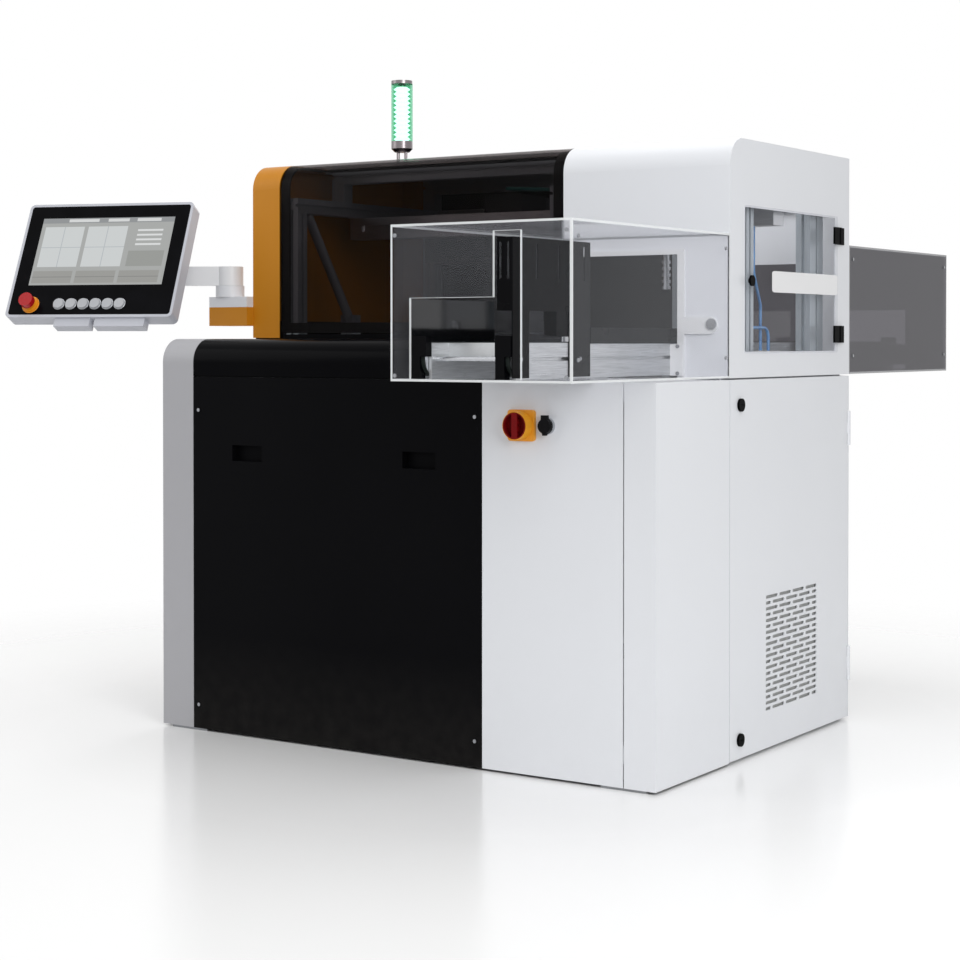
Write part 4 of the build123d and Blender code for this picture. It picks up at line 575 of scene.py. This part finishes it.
def working_finishes():
    """The conveyor, the gantry with what it carries, the units inside and the fittings."""
    guide = moulded("Black guide plastic", tone(5, 5, 7), 0.24, 1400.0, 0.00002, 0.0, 0.05)
    fitting = moulded("Black fitting", tone(5, 5, 6), 0.5, shine=0.03)
    gantry = drawn_bar("Gantry bar", tone(200, 202, 205), 0.33, (14.0, 900.0, 900.0))
    steel = turned_steel("Turned steel", tone(188, 190, 194))
    wear("conveyor_rails", rail_finish())
    wear("conveyor_belts", belt_rubber())
    wear_each(steel, "conveyor_shaft_front", "conveyor_shaft_rear", "aperture_latch")
    wear_each(guide, "sensor_bracket", "conveyor_end_caps", "tray_reader")
    wear("aperture_frame", powder_coat("Aperture frame paint", OPENING_WHITE, 0.36))
    wear_each(fitting, "window_hinge_bases", "window_fittings", "lock_top", "lock_bottom")
    wear_each(gantry, "gantry_beam", "lens_shuttle")
    wear("gripper_carriage", powder_coat("Carriage paint", tone(120, 122, 126), 0.4))
    wear("vacuum_gripper", turned_steel("Gripper steel", tone(170, 172, 176), 0.28))
    wear("scan_head", powder_coat("Scan head paint", tone(34, 36, 40), 0.38))
    wear("laser_source", drawn_bar("Laser case", tone(96, 100, 106), 0.42))
    wear("control_modules", moulded("Module case", tone(190, 192, 190), 0.5))
    wear("drive_motor", moulded("Motor enamel", tone(30, 31, 33), 0.38))
    wear("screws", turned_steel("Zinc-plated screw", tone(150, 152, 156), 0.3))
    wear("levelling_feet", turned_steel("Foot steel", tone(136, 138, 141), 0.4))
    wear("pneumatic_tubes", tube_plastic())


def belt_rubber():
    """Ribbed rubber: rows across the belt, rougher where they rise."""
    belt = Finish("Belt rubber", tone(26, 32, 30), 0.62, Specular_IOR_Level=0.2)
    rows = belt.axis(1).repeat(BELT_PITCH).ramp(0.35, 0.65)
    belt.relief(rows, 0.0003, 0.6)
    belt.put("Roughness", rows.ramp(0.0, 1.0, 0.55, 0.72))
    return belt.material


def tube_plastic():
    """Blue air tube, a little cloudy."""
    blue = Finish("Polyurethane tube", TUBE_BLUE, 0.22, Coat_Weight=0.3)
    haze = blue.cloud(40.0).ramp(0.3, 0.7)
    blue.put("Base Color", blue.blend(TUBE_BLUE, tone(62, 118, 178), haze))
    return blue.material


def rail_finish():
    """Drawn aluminium rails; their left guide plate is polished black, and the small
    plate that ties them to the opening is painted white."""
    rail = Finish("Anodised bar", RAIL_METAL, 0.34)
    low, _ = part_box("conveyor_rails")
    guide = rail.axis(0).below(low[0] + GUIDE_T)
    tie = rail.axis(0).above(TIE_X) * rail.axis(2).above(TIE_Z)
    streaks = rail.cloud(1.0, 3.0, rail.stretched(900.0, 14.0, 900.0))
    metal = rail.blend(RAIL_METAL, tone(146, 148, 150), streaks.ramp(0.4, 0.75, 0.0, 0.6))
    plated = rail.blend(metal, tone(15, 16, 18), guide)
    rail.put("Base Color", rail.blend(plated, OPENING_WHITE, tie))
    rail.put("Metallic", 0.9 - guide.most(tie) * 0.9)
    brushed = streaks.ramp(0.3, 0.7, 0.26, 0.44)
    rail.put("Roughness", rail.blend_number(brushed, 0.07, guide))
    rail.relief(streaks, 0.00003, 0.4)
    return rail.material


def gate_edges(pane):
    """1 along the stepped cut-out in the guard's front wall, where a painted highlight line
    goes: a wide low part, and a narrow part that reaches higher at its right."""
    x, z = pane.axis(0), pane.axis(2)
    front = pane.axis(1).below(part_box("front_guard")[0][1] + GATE_WALL)
    left, step, right = GATE_X
    low, middle, top = GATE_Z
    sides = (
        x.near(left, GATE_LINE) * z.within(low, middle)
        + x.near(step, GATE_LINE) * z.within(middle, top)
        + x.near(right, GATE_LINE) * z.within(low, top)
    )
    low_head = z.near(middle, GATE_LINE) * x.within(left, step)
    high_head = z.near(top, GATE_LINE) * x.within(step, right)
    return (sides + (low_head + high_head)) * front


def see_through_finishes():
    """The hood with its black trim, the side window and the two end guards."""
    smoke = acrylic("Smoked hood sheet", tone(196, 192, 192), 0.06, 0.5, tone(5, 5, 6), 0.03)
    wear("hood_window", smoke)
    wear("hood_frame", moulded("Hood trim", tone(12, 12, 14), 0.4, shine=0.25))
    # The front guard's edges and its cut-out's edges get a pale painted highlight
    clear = acrylic(
        "Clear guard sheet", tone(253, 253, 254), 0.016, 0.5, tone(206, 209, 214), 0.03,
        edges_of="front_guard", cut=gate_edges,
    )
    wear("front_guard", clear)
    # The rear guard's edges get a lighter grey painted highlight
    grey = acrylic(
        "Smoked guard sheet", tone(150, 148, 154), 0.34, 0.3, tone(146, 145, 150), 0.04,
        edges_of="rear_guard", highlight_tone=tone(176, 177, 179),
    )
    wear("rear_guard", grey)
    pane = acrylic("Window sheet", tone(252, 252, 253), 0.012, 0.3, tone(200, 200, 202), 0.03)
    wear("window_pane", pane)


def tower_finishes():
    """The stack light's turned metal and its clear green lens."""
    wear("tower_body", turned_steel("Tower metal", tone(132, 126, 128), 0.26))
    lens = Finish("Green lens", LENS_GREEN, 0.12, IOR=1.49)
    swirl = lens.cloud(1.0, 3.0, lens.stretched(60.0, 60.0, 8.0))
    lens.put("Roughness", swirl.ramp(0.3, 0.7, 0.06, 0.18))
    lens.put("Base Color", lens.blend(LENS_GREEN, tone(96, 186, 140), swirl.ramp(0.4, 0.7)))
    lens.see_through(LENS_TINT, 0.03, 0.4)
    wear("tower_lens", lens.material)


def build_lamp_core(dressing):
    """The lit reflector inside the lens: a turned stack of rings, their radius a
    triangle wave along the height, closed in to the centre post at both ends."""
    low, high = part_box("tower_lens")
    at = ((low[0] + high[0]) / 2, (low[1] + high[1]) / 2, low[2])
    tall = high[2] - low[2]
    rise = np.linspace(CORE_SEAT, tall - CORE_TOP, 1 + 2 * CORE_RINGS)
    radius = np.where(np.arange(rise.size) % 2, CORE_WIDE, CORE_NARROW)
    profile = [(CORE_POST, CORE_SEAT), *zip(radius, rise), (CORE_POST, tall - CORE_TOP)]
    glow = Finish("Lit reflector", tone(244, 250, 244), 0.3)
    bands = glow.axis(2).repeat(CORE_BAND).ramp(0.2, 0.8)
    glow.put("Emission Color", glow.blend(tone(250, 255, 250), tone(238, 252, 242), bands))
    glow.put("Emission Strength", dressing.tower_glow)
    rings = turned(profile, at, (0, 0, 1), (1, 0, 0))
    surface("tower_lamp_core", rings, glow.material, "machine", closed_u=True)


def operator_finishes(dressing):
    """The touch panel, its arm, its keys, and the switch and socket below the guard."""
    wear("hmi_housing", panel_housing())
    wear("hmi_glass", screen_glass())
    wear("hmi_arm", powder_coat("Arm paint", tone(226, 227, 229), 0.36))
    wear("hmi_knuckle", powder_coat("Knuckle paint", tone(200, 202, 206), 0.38))
    wear("hmi_bracket", bracket_paint(tuple(dressing.orange), tuple(dressing.white)))
    stop = moulded("Stop button red", tone(172, 20, 26), 0.26, 1400.0, 0.00002, 0.2, 0.3)
    wear("estop_cap", stop)
    key = moulded("Key silver", tone(176, 178, 182), 0.36, 1200.0, 0.00002, 0.2)
    wear_each(key, *[name for name in PARTS if name.startswith("hmi_button")])
    wear("switch_plate", moulded("Switch plate yellow", SWITCH_YELLOW, 0.4))
    wear("switch_handle", handle_plastic())
    wear("service_socket", turned_steel("Socket ring", tone(190, 192, 196), 0.2))
    wear("socket_cap", moulded("Socket cap", tone(7, 7, 9), 0.42, shine=0.08))


def panel_housing():
    """Pale moulded plastic; the raised seat of the stop button is yellow. The seat is
    where the arm from the button's foot, crossed with the face's direction, is shorter
    than its radius."""
    case = Finish("Panel housing", PANEL_PALE, 0.34, IOR=1.5)
    out = tuple(FACE_OUT)
    foot = tuple(on_face(*STOP_AT))
    arm = case.add("VectorMath", {"operation": "SUBTRACT"}, case.place(), foot)
    swept = case.add("VectorMath", {"operation": "CROSS_PRODUCT"}, arm, out)
    away = case.add("VectorMath", {"operation": "LENGTH"}, swept, out=1)
    ahead = case.add("VectorMath", {"operation": "DOT_PRODUCT"}, arm, out, out=1)
    seat = away.below(SEAT_R) * ahead.above(SEAT_FOOT)
    sweep = case.cloud(9.0, 2.0)
    pale = case.blend(PANEL_PALE, tone(172, 174, 182), sweep.ramp(0.4, 0.7, 0.0, 0.35))
    case.put("Base Color", case.blend(pale, STOP_YELLOW, seat))
    case.put("Roughness", sweep.ramp(0.3, 0.7, 0.3, 0.4))
    case.relief(case.cloud(900.0, 2.0), 0.00003, 0.5)
    return case.material


def handle_plastic():
    """Dark red plastic in a yellow sleeve: yellow beyond the bowl's radius."""
    grip = Finish("Switch handle", SWITCH_RED, 0.4, IOR=1.5, Specular_IOR_Level=0.1)
    low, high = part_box("switch_handle")
    across = grip.axis(0) - (low[0] + high[0]) / 2
    up = grip.axis(2) - (low[2] + high[2]) / 2
    away = (across**2.0 + up**2.0) ** 0.5
    sleeve = away.above((high[2] - low[2]) / 2 - HANDLE_SKIN)
    sweep = grip.cloud(9.0, 2.0).ramp(0.4, 0.7, 0.0, 0.35)
    red = grip.blend(SWITCH_RED, tone(100, 10, 12), sweep)
    grip.put("Base Color", grip.blend(red, SWITCH_YELLOW, sleeve))
    grip.relief(grip.cloud(1400.0, 2.0), 0.00003, 0.5)
    return grip.material


def screen_glass():
    """Black-bordered glass in front of the display, smeared by fingers."""
    glass = Finish("Panel glass", SCREEN_BLACK, 0.08, IOR=1.52, Specular_IOR_Level=0.04)
    smear = glass.cloud(14.0, 4.0)
    glass.put("Roughness", smear.ramp(0.45, 0.75, 0.06, 0.2))
    glass.put("Base Color", glass.blend(SCREEN_BLACK, tone(13, 13, 16), smear.ramp(0.4, 0.7)))
    return glass.material


def bracket_paint(orange, white):
    """The arm's wall bracket: orange up to the cover's lower edge, white above it."""
    coat = Finish("Bracket paint", orange, 0.4, IOR=1.48)
    split = coat.axis(2).above(BRACKET_SPLIT)
    drift = coat.cloud(8.0, 3.0).ramp(0.3, 0.7, 0.0, 0.12)
    lower = coat.blend(orange, tone(176, 112, 28), drift)
    upper = coat.blend(white, tone(214, 214, 214), drift)
    coat.put("Base Color", coat.blend(lower, upper, split))
    coat.relief(coat.cloud(700.0, 2.0), 0.00006, 0.35)
    return coat.material


def on_face(u, v, w=0.0):
    """A point on the panel's face: across, up and out from its middle."""
    u, v, w = (np.asarray(value, float)[..., None] for value in (u, v, w))
    return FACE_MID + u * FACE_X + v * FACE_UP + w * FACE_OUT


def display_finish(glow):
    """The lit page of the display, laid out in shares of its width and height: a header
    with tabs, two work areas with cross lines, a column of bars over a form at the
    right, and a row of boxes below, all without lettering."""
    page = Finish("Display page", tone(12, 12, 14), 0.12)
    uv = page.add("TexCoord", out="UV")
    x, y = (page.add("SeparateXYZ", None, uv, out=index) for index in (0, 1))
    header = y.above(0.925)
    tabs = (x.within(0.2, 0.43) + x.within(0.5, 0.66) + x.within(0.72, 0.9)) * y.within(0.94, 0.985)
    left = x.within(0.03, 0.33) * y.within(0.27, 0.87)
    right = x.within(0.36, 0.66) * y.within(0.27, 0.87)
    areas = left.most(right)
    uprights = (x.near(0.18, 0.003) * left).most(x.near(0.51, 0.003) * right)
    level = y.near(0.56, 0.005) * areas
    bars = x.within(0.74, 0.93) * y.repeat(0.07).within(0.3, 0.7) * y.within(0.56, 0.84)
    form = x.within(0.7, 0.97) * y.within(0.27, 0.5)
    boxes = x.repeat(0.325).within(0.04, 0.96) * y.within(0.03, 0.21) * x.within(0.01, 0.99)
    rules = boxes * y.near(0.12, 0.006)
    layers = (
        (header, tone(150, 153, 155)),
        (tabs, tone(226, 228, 228)),
        (areas, tone(216, 220, 220)),
        (uprights.most(level), tone(188, 194, 198)),
        (bars, tone(232, 234, 234)),
        (form, tone(158, 160, 156)),
        (boxes, tone(160, 160, 156)),
        (rules, tone(140, 140, 138)),
    )
    colour = tone(176, 178, 176)
    for mask, paint in layers:
        colour = page.blend(colour, paint, mask)
    page.put("Emission Color", colour)
    page.put("Emission Strength", glow)
    page.put("Roughness", page.cloud(16.0, 3.0).ramp(0.4, 0.7, 0.1, 0.22))
    return page.material


def build_display(dressing):
    """A flat grid across the display's lit area, its UV running from 0 to 1."""
    s, t = grid(3, 3)
    u = SCREEN_U[0] + s * (SCREEN_U[1] - SCREEN_U[0])
    v = SCREEN_V[0] + t * (SCREEN_V[1] - SCREEN_V[0])
    finish = display_finish(dressing.display_glow)
    uv = np.stack([s, t], axis=-1)
    surface("display_page", on_face(u, v, PAGE_OFF), finish, "panel", uv=uv)


def build_ring(name, u, v, radius, swell, material, slot):
    """A raised ring on the panel's face: a half-round section turned about the face's
    direction."""
    arc = np.linspace(0, math.pi, 9)
    profile = np.stack([radius + swell * np.cos(arc), swell * np.sin(arc)], axis=-1)
    ring = turned(profile, on_face(u, v), FACE_OUT, FACE_X)
    surface(name, ring, material, "panel", closed_u=True)


def build_key_rings():
    """The rings round the keys and the one under the stop button."""
    metal = turned_steel("Key ring steel", tone(170, 172, 176), 0.26)
    collar = moulded("Stop collar yellow", STOP_YELLOW, 0.36)
    for key in range(KEYS):
        name = "key_ring_%d" % (key + 1)
        build_ring(name, KEY_FIRST + key * KEY_PITCH, KEY_V, *KEY_RING, metal, "bright_steel")
    build_ring("stop_ring", *STOP_AT, *STOP_RING, collar, "yellow_plastic")


def build_window_band():
    """The plain pale strip across the side window: a flat grid with rounded ends, its
    half height less by the corner's size times one less the root of one less the square
    of the way into the corner."""
    s, t = grid(41, 5)
    y = BAND_Y[0] + s * (BAND_Y[1] - BAND_Y[0])
    edge = np.minimum(y - BAND_Y[0], BAND_Y[1] - y)
    way = np.clip(1 - edge / BAND_CORNER, 0, 1)
    half = (BAND_Z[1] - BAND_Z[0]) / 2 - BAND_CORNER * (1 - np.sqrt(1 - way**2))
    z = (BAND_Z[0] + BAND_Z[1]) / 2 + (2 * t - 1) * half
    x = np.full_like(y, PANE_X + BAND_OFF)
    film = Finish("Window strip film", STRIP_WHITE, 0.34)
    lay = film.cloud(2.0, 2.0)
    film.put("Base Color", film.blend(STRIP_WHITE, tone(228, 228, 229), lay.ramp(0.3, 0.7)))
    film.put("Roughness", lay.ramp(0.3, 0.7, 0.3, 0.38))
    points = np.stack([x, y, z], axis=-1)
    surface("window_band", points, film.material, "side_window")


def build_vent_screen():
    """A filter mat behind the louvres: a sheet with fine crossed ripples, the depth the
    product of two sines."""
    s, t = grid(61, 61)
    z = VENT_LOW + t * VENT_TALL
    y = VENT_Y + (s - 0.5) * VENT_WIDE
    along, up = VENT_RIPPLES
    x = VENT_X + VENT_DEPTH * np.sin(2 * math.pi * along * s) * np.sin(2 * math.pi * up * t)
    mat = Finish("Filter cloth", tone(186, 187, 186), 0.9)
    edge = {"feature": "DISTANCE_TO_EDGE"}
    weave = mat.add("TexVoronoi", edge, Vector=mat.place(), Scale=420.0)
    mat.put("Base Color", mat.blend(tone(150, 151, 150), tone(206, 207, 206), weave * 3.0))
    mat.relief(weave, 0.0008, 0.8)
    points = np.stack([x, y, z], axis=-1)
    surface("vent_filter", points, mat.material, "service_door")


def build_cables(dressing):
    """Wiring seen through the hood: round tubes along smooth curves, side by side."""
    skins = [
        moulded("Cable skin teal", tone(44, 120, 116), 0.45),
        moulded("Cable skin grey", tone(120, 122, 126), 0.5),
        moulded("Cable skin black", tone(30, 30, 33), 0.5),
    ]
    top = dressing.wiring_height
    for number in range(CABLES):
        shift = CABLE_PITCH * number
        route = [(x, y + shift, top - sag + rise * number) for x, y, sag, rise in CABLE_ROUTE]
        name = "hood_cable_%d" % (number + 1)
        skin = skins[number % len(skins)]
        surface(name, tube(route, CABLE_R), skin, "machine", closed_v=True)


def build_floor():
    """A pale disc, its quads in rings round a middle face, that fades out with the
    distance from the machine."""
    floor = Finish("Studio floor", (0.96, 0.96, 0.96), 0.2)
    away = floor.add("VectorMath", {"operation": "LENGTH"}, floor.place(), out=1)
    clear = floor.add("BsdfTransparent", None, WHITE)
    floor.show(floor.add("MixShader", None, away.ramp(*FLOOR_FADE), floor.body, clear))
    rings, spokes = FLOOR_GRID
    reach = np.linspace(0.0, FLOOR_R, rings + 1)[1:]
    turn = circle(spokes)
    x, y = np.outer(reach, np.cos(turn)), np.outer(reach, np.sin(turn))
    points = np.stack([x, y, np.zeros_like(x)], axis=-1)
    faces = quads(rings, spokes, closed_v=True) + [list(range(spokes))]
    shown("studio_floor", points, faces, floor.material)


def build_lamps(share):
    """Soft square lamps, each turned to face its target; one is inside the white bay."""
    for name, spot, side, watts, target in LAMPS:
        data = bpy.data.lights.new(name, "AREA")
        data.shape = "SQUARE"
        data.size = side
        data.energy = watts * share
        lamp = bpy.data.objects.new(name, data)
        lamp.location = spot
        aim = np.array(target) - np.array(spot)
        aim = aim / np.linalg.norm(aim)
        turn = math.atan2(aim[1], aim[0]) - math.pi / 2
        lamp.rotation_euler = (math.acos(-aim[2]), 0.0, turn)
        bpy.context.scene.collection.objects.link(lamp)


def build_surround(light):
    """White where the camera, metal and glass see it, and a plain level elsewhere."""
    world = bpy.data.worlds.new("Studio surround")
    world.use_nodes = True
    sky = Nodes(world.node_tree, "ShaderNodeOutputWorld")
    camera, glossy, through = (
        sky.add("LightPath", out="Is %s Ray" % kind) for kind in ("Camera", "Glossy", "Transmission")
    )
    lit = sky.add("Background", None, WHITE, light)
    seen = sky.add("Background", None, WHITE, 1.0)
    sky.show(sky.add("MixShader", None, camera.most(glossy).most(through), lit, seen))
    bpy.context.scene.world = world


def build_camera():
    """The photograph's viewpoint, and plain colours."""
    lens = bpy.data.cameras.new("studio_camera")
    lens.lens = CAMERA_LENS
    lens.sensor_width = CAMERA_SENSOR
    lens.shift_y = CAMERA_RISE
    lens.clip_end = CAMERA_REACH
    camera = bpy.data.objects.new("studio_camera", lens)
    camera.location = CAMERA_AT
    camera.rotation_euler = (math.radians(CAMERA_TILT), 0.0, math.radians(CAMERA_TURN))
    bpy.context.scene.collection.objects.link(camera)
    bpy.context.scene.camera = camera
    bpy.context.scene.view_settings.view_transform = "Standard"


class EngraverDressing(bpy.types.PropertyGroup):
    """Colours, sizes and levels a user would change."""

    orange: FloatVectorProperty(
        name="Orange",
        description="Powder coat of the left upper cover",
        subtype="COLOR",
        default=tone(196, 128, 22),
        min=0.0,
        max=1.0,
    )
    grey: FloatVectorProperty(
        name="Grey",
        description="Powder coat of the left lower cover",
        subtype="COLOR",
        default=tone(168, 168, 172),
        min=0.0,
        max=1.0,
    )
    white: FloatVectorProperty(
        name="White",
        description="Powder coat of the right-hand panels",
        subtype="COLOR",
        default=tone(222, 224, 228),
        min=0.0,
        max=1.0,
    )
    display_glow: FloatProperty(
        name="Display glow", description="Strength of the lit page", default=0.8, min=0.0
    )
    wiring_height: FloatProperty(
        name="Wiring height",
        description="Height of the cable run under the hood's top",
        default=1.40,
        unit="LENGTH",
    )
    tower_glow: FloatProperty(
        name="Tower glow", description="Strength of the stack light", default=3.0, min=0.0
    )
    lamp_share: FloatProperty(
        name="Lamp share", description="Scales every studio lamp", default=1.0, min=0.0
    )
    surround: FloatProperty(
        name="Surround light", description="Light from the white surround", default=0.42, min=0.0
    )


class ENGRAVER_OT_cabinet(bpy.types.Operator):
    """Paint the covers, panels and frame"""

    bl_idname = "engraver.cabinet"
    bl_label = "Cabinet finishes"

    def execute(self, context):
        cabinet_finishes(context.scene.engraver_dressing)
        return {"FINISHED"}


class ENGRAVER_OT_works(bpy.types.Operator):
    """Finish the conveyors, gantry, laser head and fittings"""

    bl_idname = "engraver.works"
    bl_label = "Working parts"

    def execute(self, context):
        working_finishes()
        return {"FINISHED"}


class ENGRAVER_OT_sheets(bpy.types.Operator):
    """Make the hood, side window and end guards see-through"""

    bl_idname = "engraver.sheets"
    bl_label = "See-through sheets"

    def execute(self, context):
        see_through_finishes()
        return {"FINISHED"}


class ENGRAVER_OT_tower(bpy.types.Operator):
    """Finish the stack light and its lens"""

    bl_idname = "engraver.tower"
    bl_label = "Stack light"

    def execute(self, context):
        tower_finishes()
        return {"FINISHED"}


class ENGRAVER_OT_core(bpy.types.Operator):
    """Add the lit reflector inside the stack light"""

    bl_idname = "engraver.core"
    bl_label = "Lit reflector"

    def execute(self, context):
        build_lamp_core(context.scene.engraver_dressing)
        return {"FINISHED"}


class ENGRAVER_OT_controls(bpy.types.Operator):
    """Finish the touch panel, its arm, the keys and the switches"""

    bl_idname = "engraver.controls"
    bl_label = "Controls"

    def execute(self, context):
        operator_finishes(context.scene.engraver_dressing)
        return {"FINISHED"}


class ENGRAVER_OT_display(bpy.types.Operator):
    """Add the display's lit page"""

    bl_idname = "engraver.display"
    bl_label = "Display page"

    def execute(self, context):
        build_display(context.scene.engraver_dressing)
        return {"FINISHED"}


class ENGRAVER_OT_rings(bpy.types.Operator):
    """Add the rings round the keys and the stop button"""

    bl_idname = "engraver.rings"
    bl_label = "Key rings"

    def execute(self, context):
        build_key_rings()
        return {"FINISHED"}


class ENGRAVER_OT_band(bpy.types.Operator):
    """Add the pale strip across the side window"""

    bl_idname = "engraver.band"
    bl_label = "Window strip"

    def execute(self, context):
        build_window_band()
        return {"FINISHED"}


class ENGRAVER_OT_vent(bpy.types.Operator):
    """Add the filter mat behind the louvres"""

    bl_idname = "engraver.vent"
    bl_label = "Vent filter"

    def execute(self, context):
        build_vent_screen()
        return {"FINISHED"}


class ENGRAVER_OT_cables(bpy.types.Operator):
    """Add the wiring under the hood"""

    bl_idname = "engraver.cables"
    bl_label = "Wiring"

    def execute(self, context):
        build_cables(context.scene.engraver_dressing)
        return {"FINISHED"}


class ENGRAVER_OT_studio(bpy.types.Operator):
    """Add the floor, the lamps, the surround and the camera"""

    bl_idname = "engraver.studio"
    bl_label = "Studio"

    def execute(self, context):
        dressing = context.scene.engraver_dressing
        build_floor()
        build_lamps(dressing.lamp_share)
        build_surround(dressing.surround)
        build_camera()
        return {"FINISHED"}


OPERATORS = (
    ENGRAVER_OT_cabinet,
    ENGRAVER_OT_works,
    ENGRAVER_OT_sheets,
    ENGRAVER_OT_tower,
    ENGRAVER_OT_core,
    ENGRAVER_OT_controls,
    ENGRAVER_OT_display,
    ENGRAVER_OT_rings,
    ENGRAVER_OT_band,
    ENGRAVER_OT_vent,
    ENGRAVER_OT_cables,
    ENGRAVER_OT_studio,
)


class ENGRAVER_PT_dressing(bpy.types.Panel):
    """The sidebar's list of sizes, colours and steps"""

    bl_idname = "ENGRAVER_PT_dressing"
    bl_label = "Lens engraver"
    bl_space_type = "VIEW_3D"
    bl_region_type = "UI"
    bl_category = "Engraver"

    def draw(self, context):
        dressing = context.scene.engraver_dressing
        for name in EngraverDressing.__annotations__:
            self.layout.prop(dressing, name)
        for step in OPERATORS:
            self.layout.operator(step.bl_idname)


def register():
    bpy.utils.register_class(EngraverDressing)
    for step in OPERATORS:
        bpy.utils.register_class(step)
    bpy.utils.register_class(ENGRAVER_PT_dressing)
    bpy.types.Scene.engraver_dressing = PointerProperty(type=EngraverDressing)


def unregister():
    del bpy.types.Scene.engraver_dressing
    bpy.utils.unregister_class(ENGRAVER_PT_dressing)
    for step in reversed(OPERATORS):
        bpy.utils.unregister_class(step)
    bpy.utils.unregister_class(EngraverDressing)


def main():
    register()
    for step in OPERATORS:
        area, name = step.bl_idname.split(".")
        result = getattr(getattr(bpy.ops, area), name)()
        if result != {"FINISHED"}:
            raise RuntimeError(step.bl_idname + " didn't finish")


if __name__ == "__main__":
    main()
